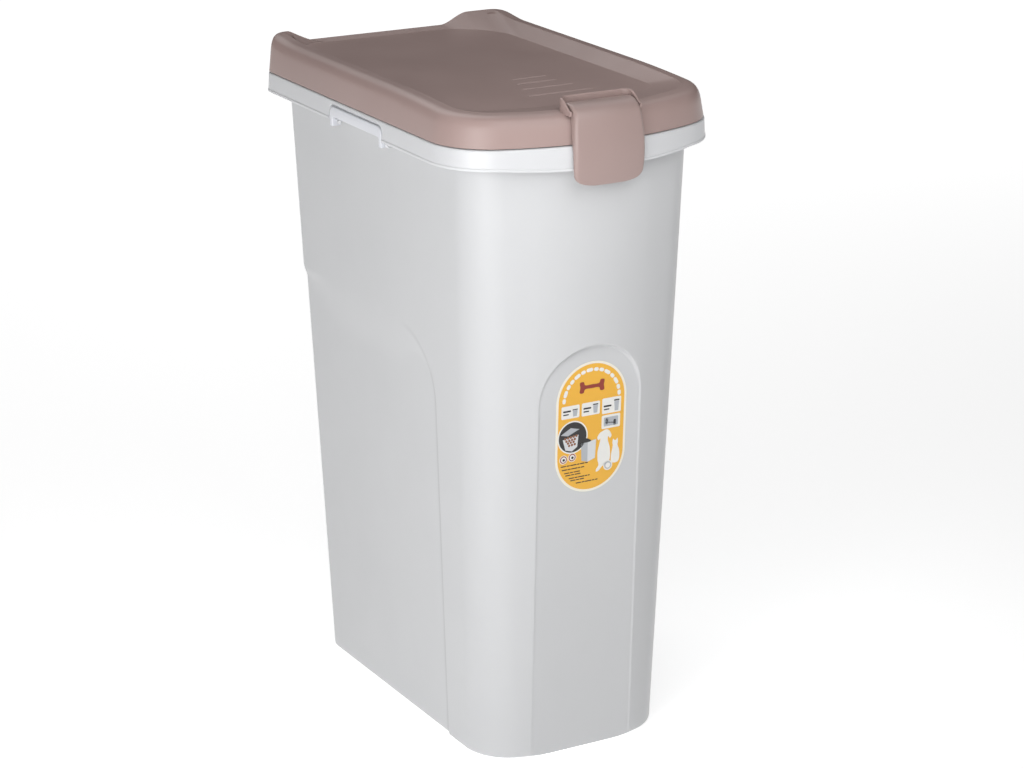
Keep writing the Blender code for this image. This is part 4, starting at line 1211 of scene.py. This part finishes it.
# The body's colour carries painted shade along its side recesses' front edges.
BODY_PLASTIC = moulded("body_plastic", (0.595, 0.60, 0.61), (0.58, 0.585, 0.596), 0.32, crease_shade=True,
                       specular=0.5)
RIM_PLASTIC = moulded("rim_plastic", (0.65, 0.655, 0.67), (0.63, 0.635, 0.65), 0.34, specular=0.5)
GRIP_PLASTIC = moulded("grip_plastic", (0.70, 0.71, 0.75), (0.68, 0.69, 0.73), 0.34, specular=0.5)
LID_PLASTIC = moulded("lid_plastic", (0.385, 0.281, 0.262), (0.365, 0.266, 0.248), 0.37, relief=0.00006,
                      specular=0.34)
LATCH_PLASTIC = moulded("latch_plastic", (0.36, 0.266, 0.249), (0.345, 0.255, 0.238), 0.33, specular=0.4)
SEAL_RUBBER = moulded("seal_rubber", (0.66, 0.66, 0.64), (0.60, 0.60, 0.58), 0.72, specular=0.3)
WHEEL_PLASTIC = moulded("wheel_plastic", (0.035, 0.035, 0.037), (0.028, 0.028, 0.030), 0.50)
AXLE_METAL = moulded("axle_metal", (0.50, 0.50, 0.51), (0.42, 0.42, 0.43), 0.34, metallic=1.0)
PIN_METAL = moulded("pin_metal", (0.58, 0.58, 0.59), (0.50, 0.50, 0.51), 0.32, metallic=1.0)
PIN_PLASTIC = moulded("pin_plastic", (0.80, 0.80, 0.81), (0.77, 0.77, 0.78), 0.36)
INKS = {name: moulded(f"ink_{name}", colour, dark, 0.33, relief=0.00001) for name, colour, dark in (
    ("cream", (0.84, 0.80, 0.70), (0.82, 0.78, 0.68)),
    ("orange", (0.84, 0.46, 0.055), (0.80, 0.42, 0.045)),
    ("white", (0.80, 0.79, 0.76), (0.78, 0.77, 0.74)),
    ("black", (0.035, 0.033, 0.034), (0.03, 0.028, 0.03)),
    ("grey", (0.45, 0.47, 0.50), (0.42, 0.44, 0.47)),
    ("pale", (0.66, 0.67, 0.69), (0.63, 0.64, 0.66)),
    ("rust", (0.30, 0.045, 0.03), (0.27, 0.04, 0.026)),
    ("kibble", (0.30, 0.13, 0.07), (0.24, 0.10, 0.05)),
)}

make_body(BODY_PLASTIC)
make_rim(RIM_PLASTIC)
make_lid(LID_PLASTIC)
make_latch(LATCH_PLASTIC)
make_latch_pin(PIN_METAL)
make_label(INKS)
for side_name, side_sign in SIDES:
    make_grip(side_name, side_sign, GRIP_PLASTIC)
    make_wheel(side_name, side_sign, WHEEL_PLASTIC)
PINS = ["hinge_pin_left", "hinge_pin_right", "grip_pin_left_front", "grip_pin_left_rear",
        "grip_pin_right_front", "grip_pin_right_rear"]
show_cad_nodes({
    "lid_seal": SEAL_RUBBER, "wheel_axle": AXLE_METAL, "axle_cap_left": WHEEL_PLASTIC,
    "axle_cap_right": WHEEL_PLASTIC, **dict.fromkeys(PINS, PIN_PLASTIC)})
make_floor()
make_world()
for light in (("key", 228, 18, 1.25, 0.7, 0.7, 4.9), ("left_strip", 221, 10, 1.50, 0.12, 1.4, 0.5),
              ("left_fill", 214, 12, 0.95, 0.5, 0.5, 2.0), ("front_top", 268, 46, 0.80, 0.5, 0.5, 1.8),
              ("rear_top", 100, 55, 1.8, 1.2, 1.2, 9.5), ("right_top", 40, 60, 1.8, 1.2, 1.2, 3.5)):
    soft_light(*light)
make_camera()
bpy.context.scene.view_settings.view_transform = "Standard"
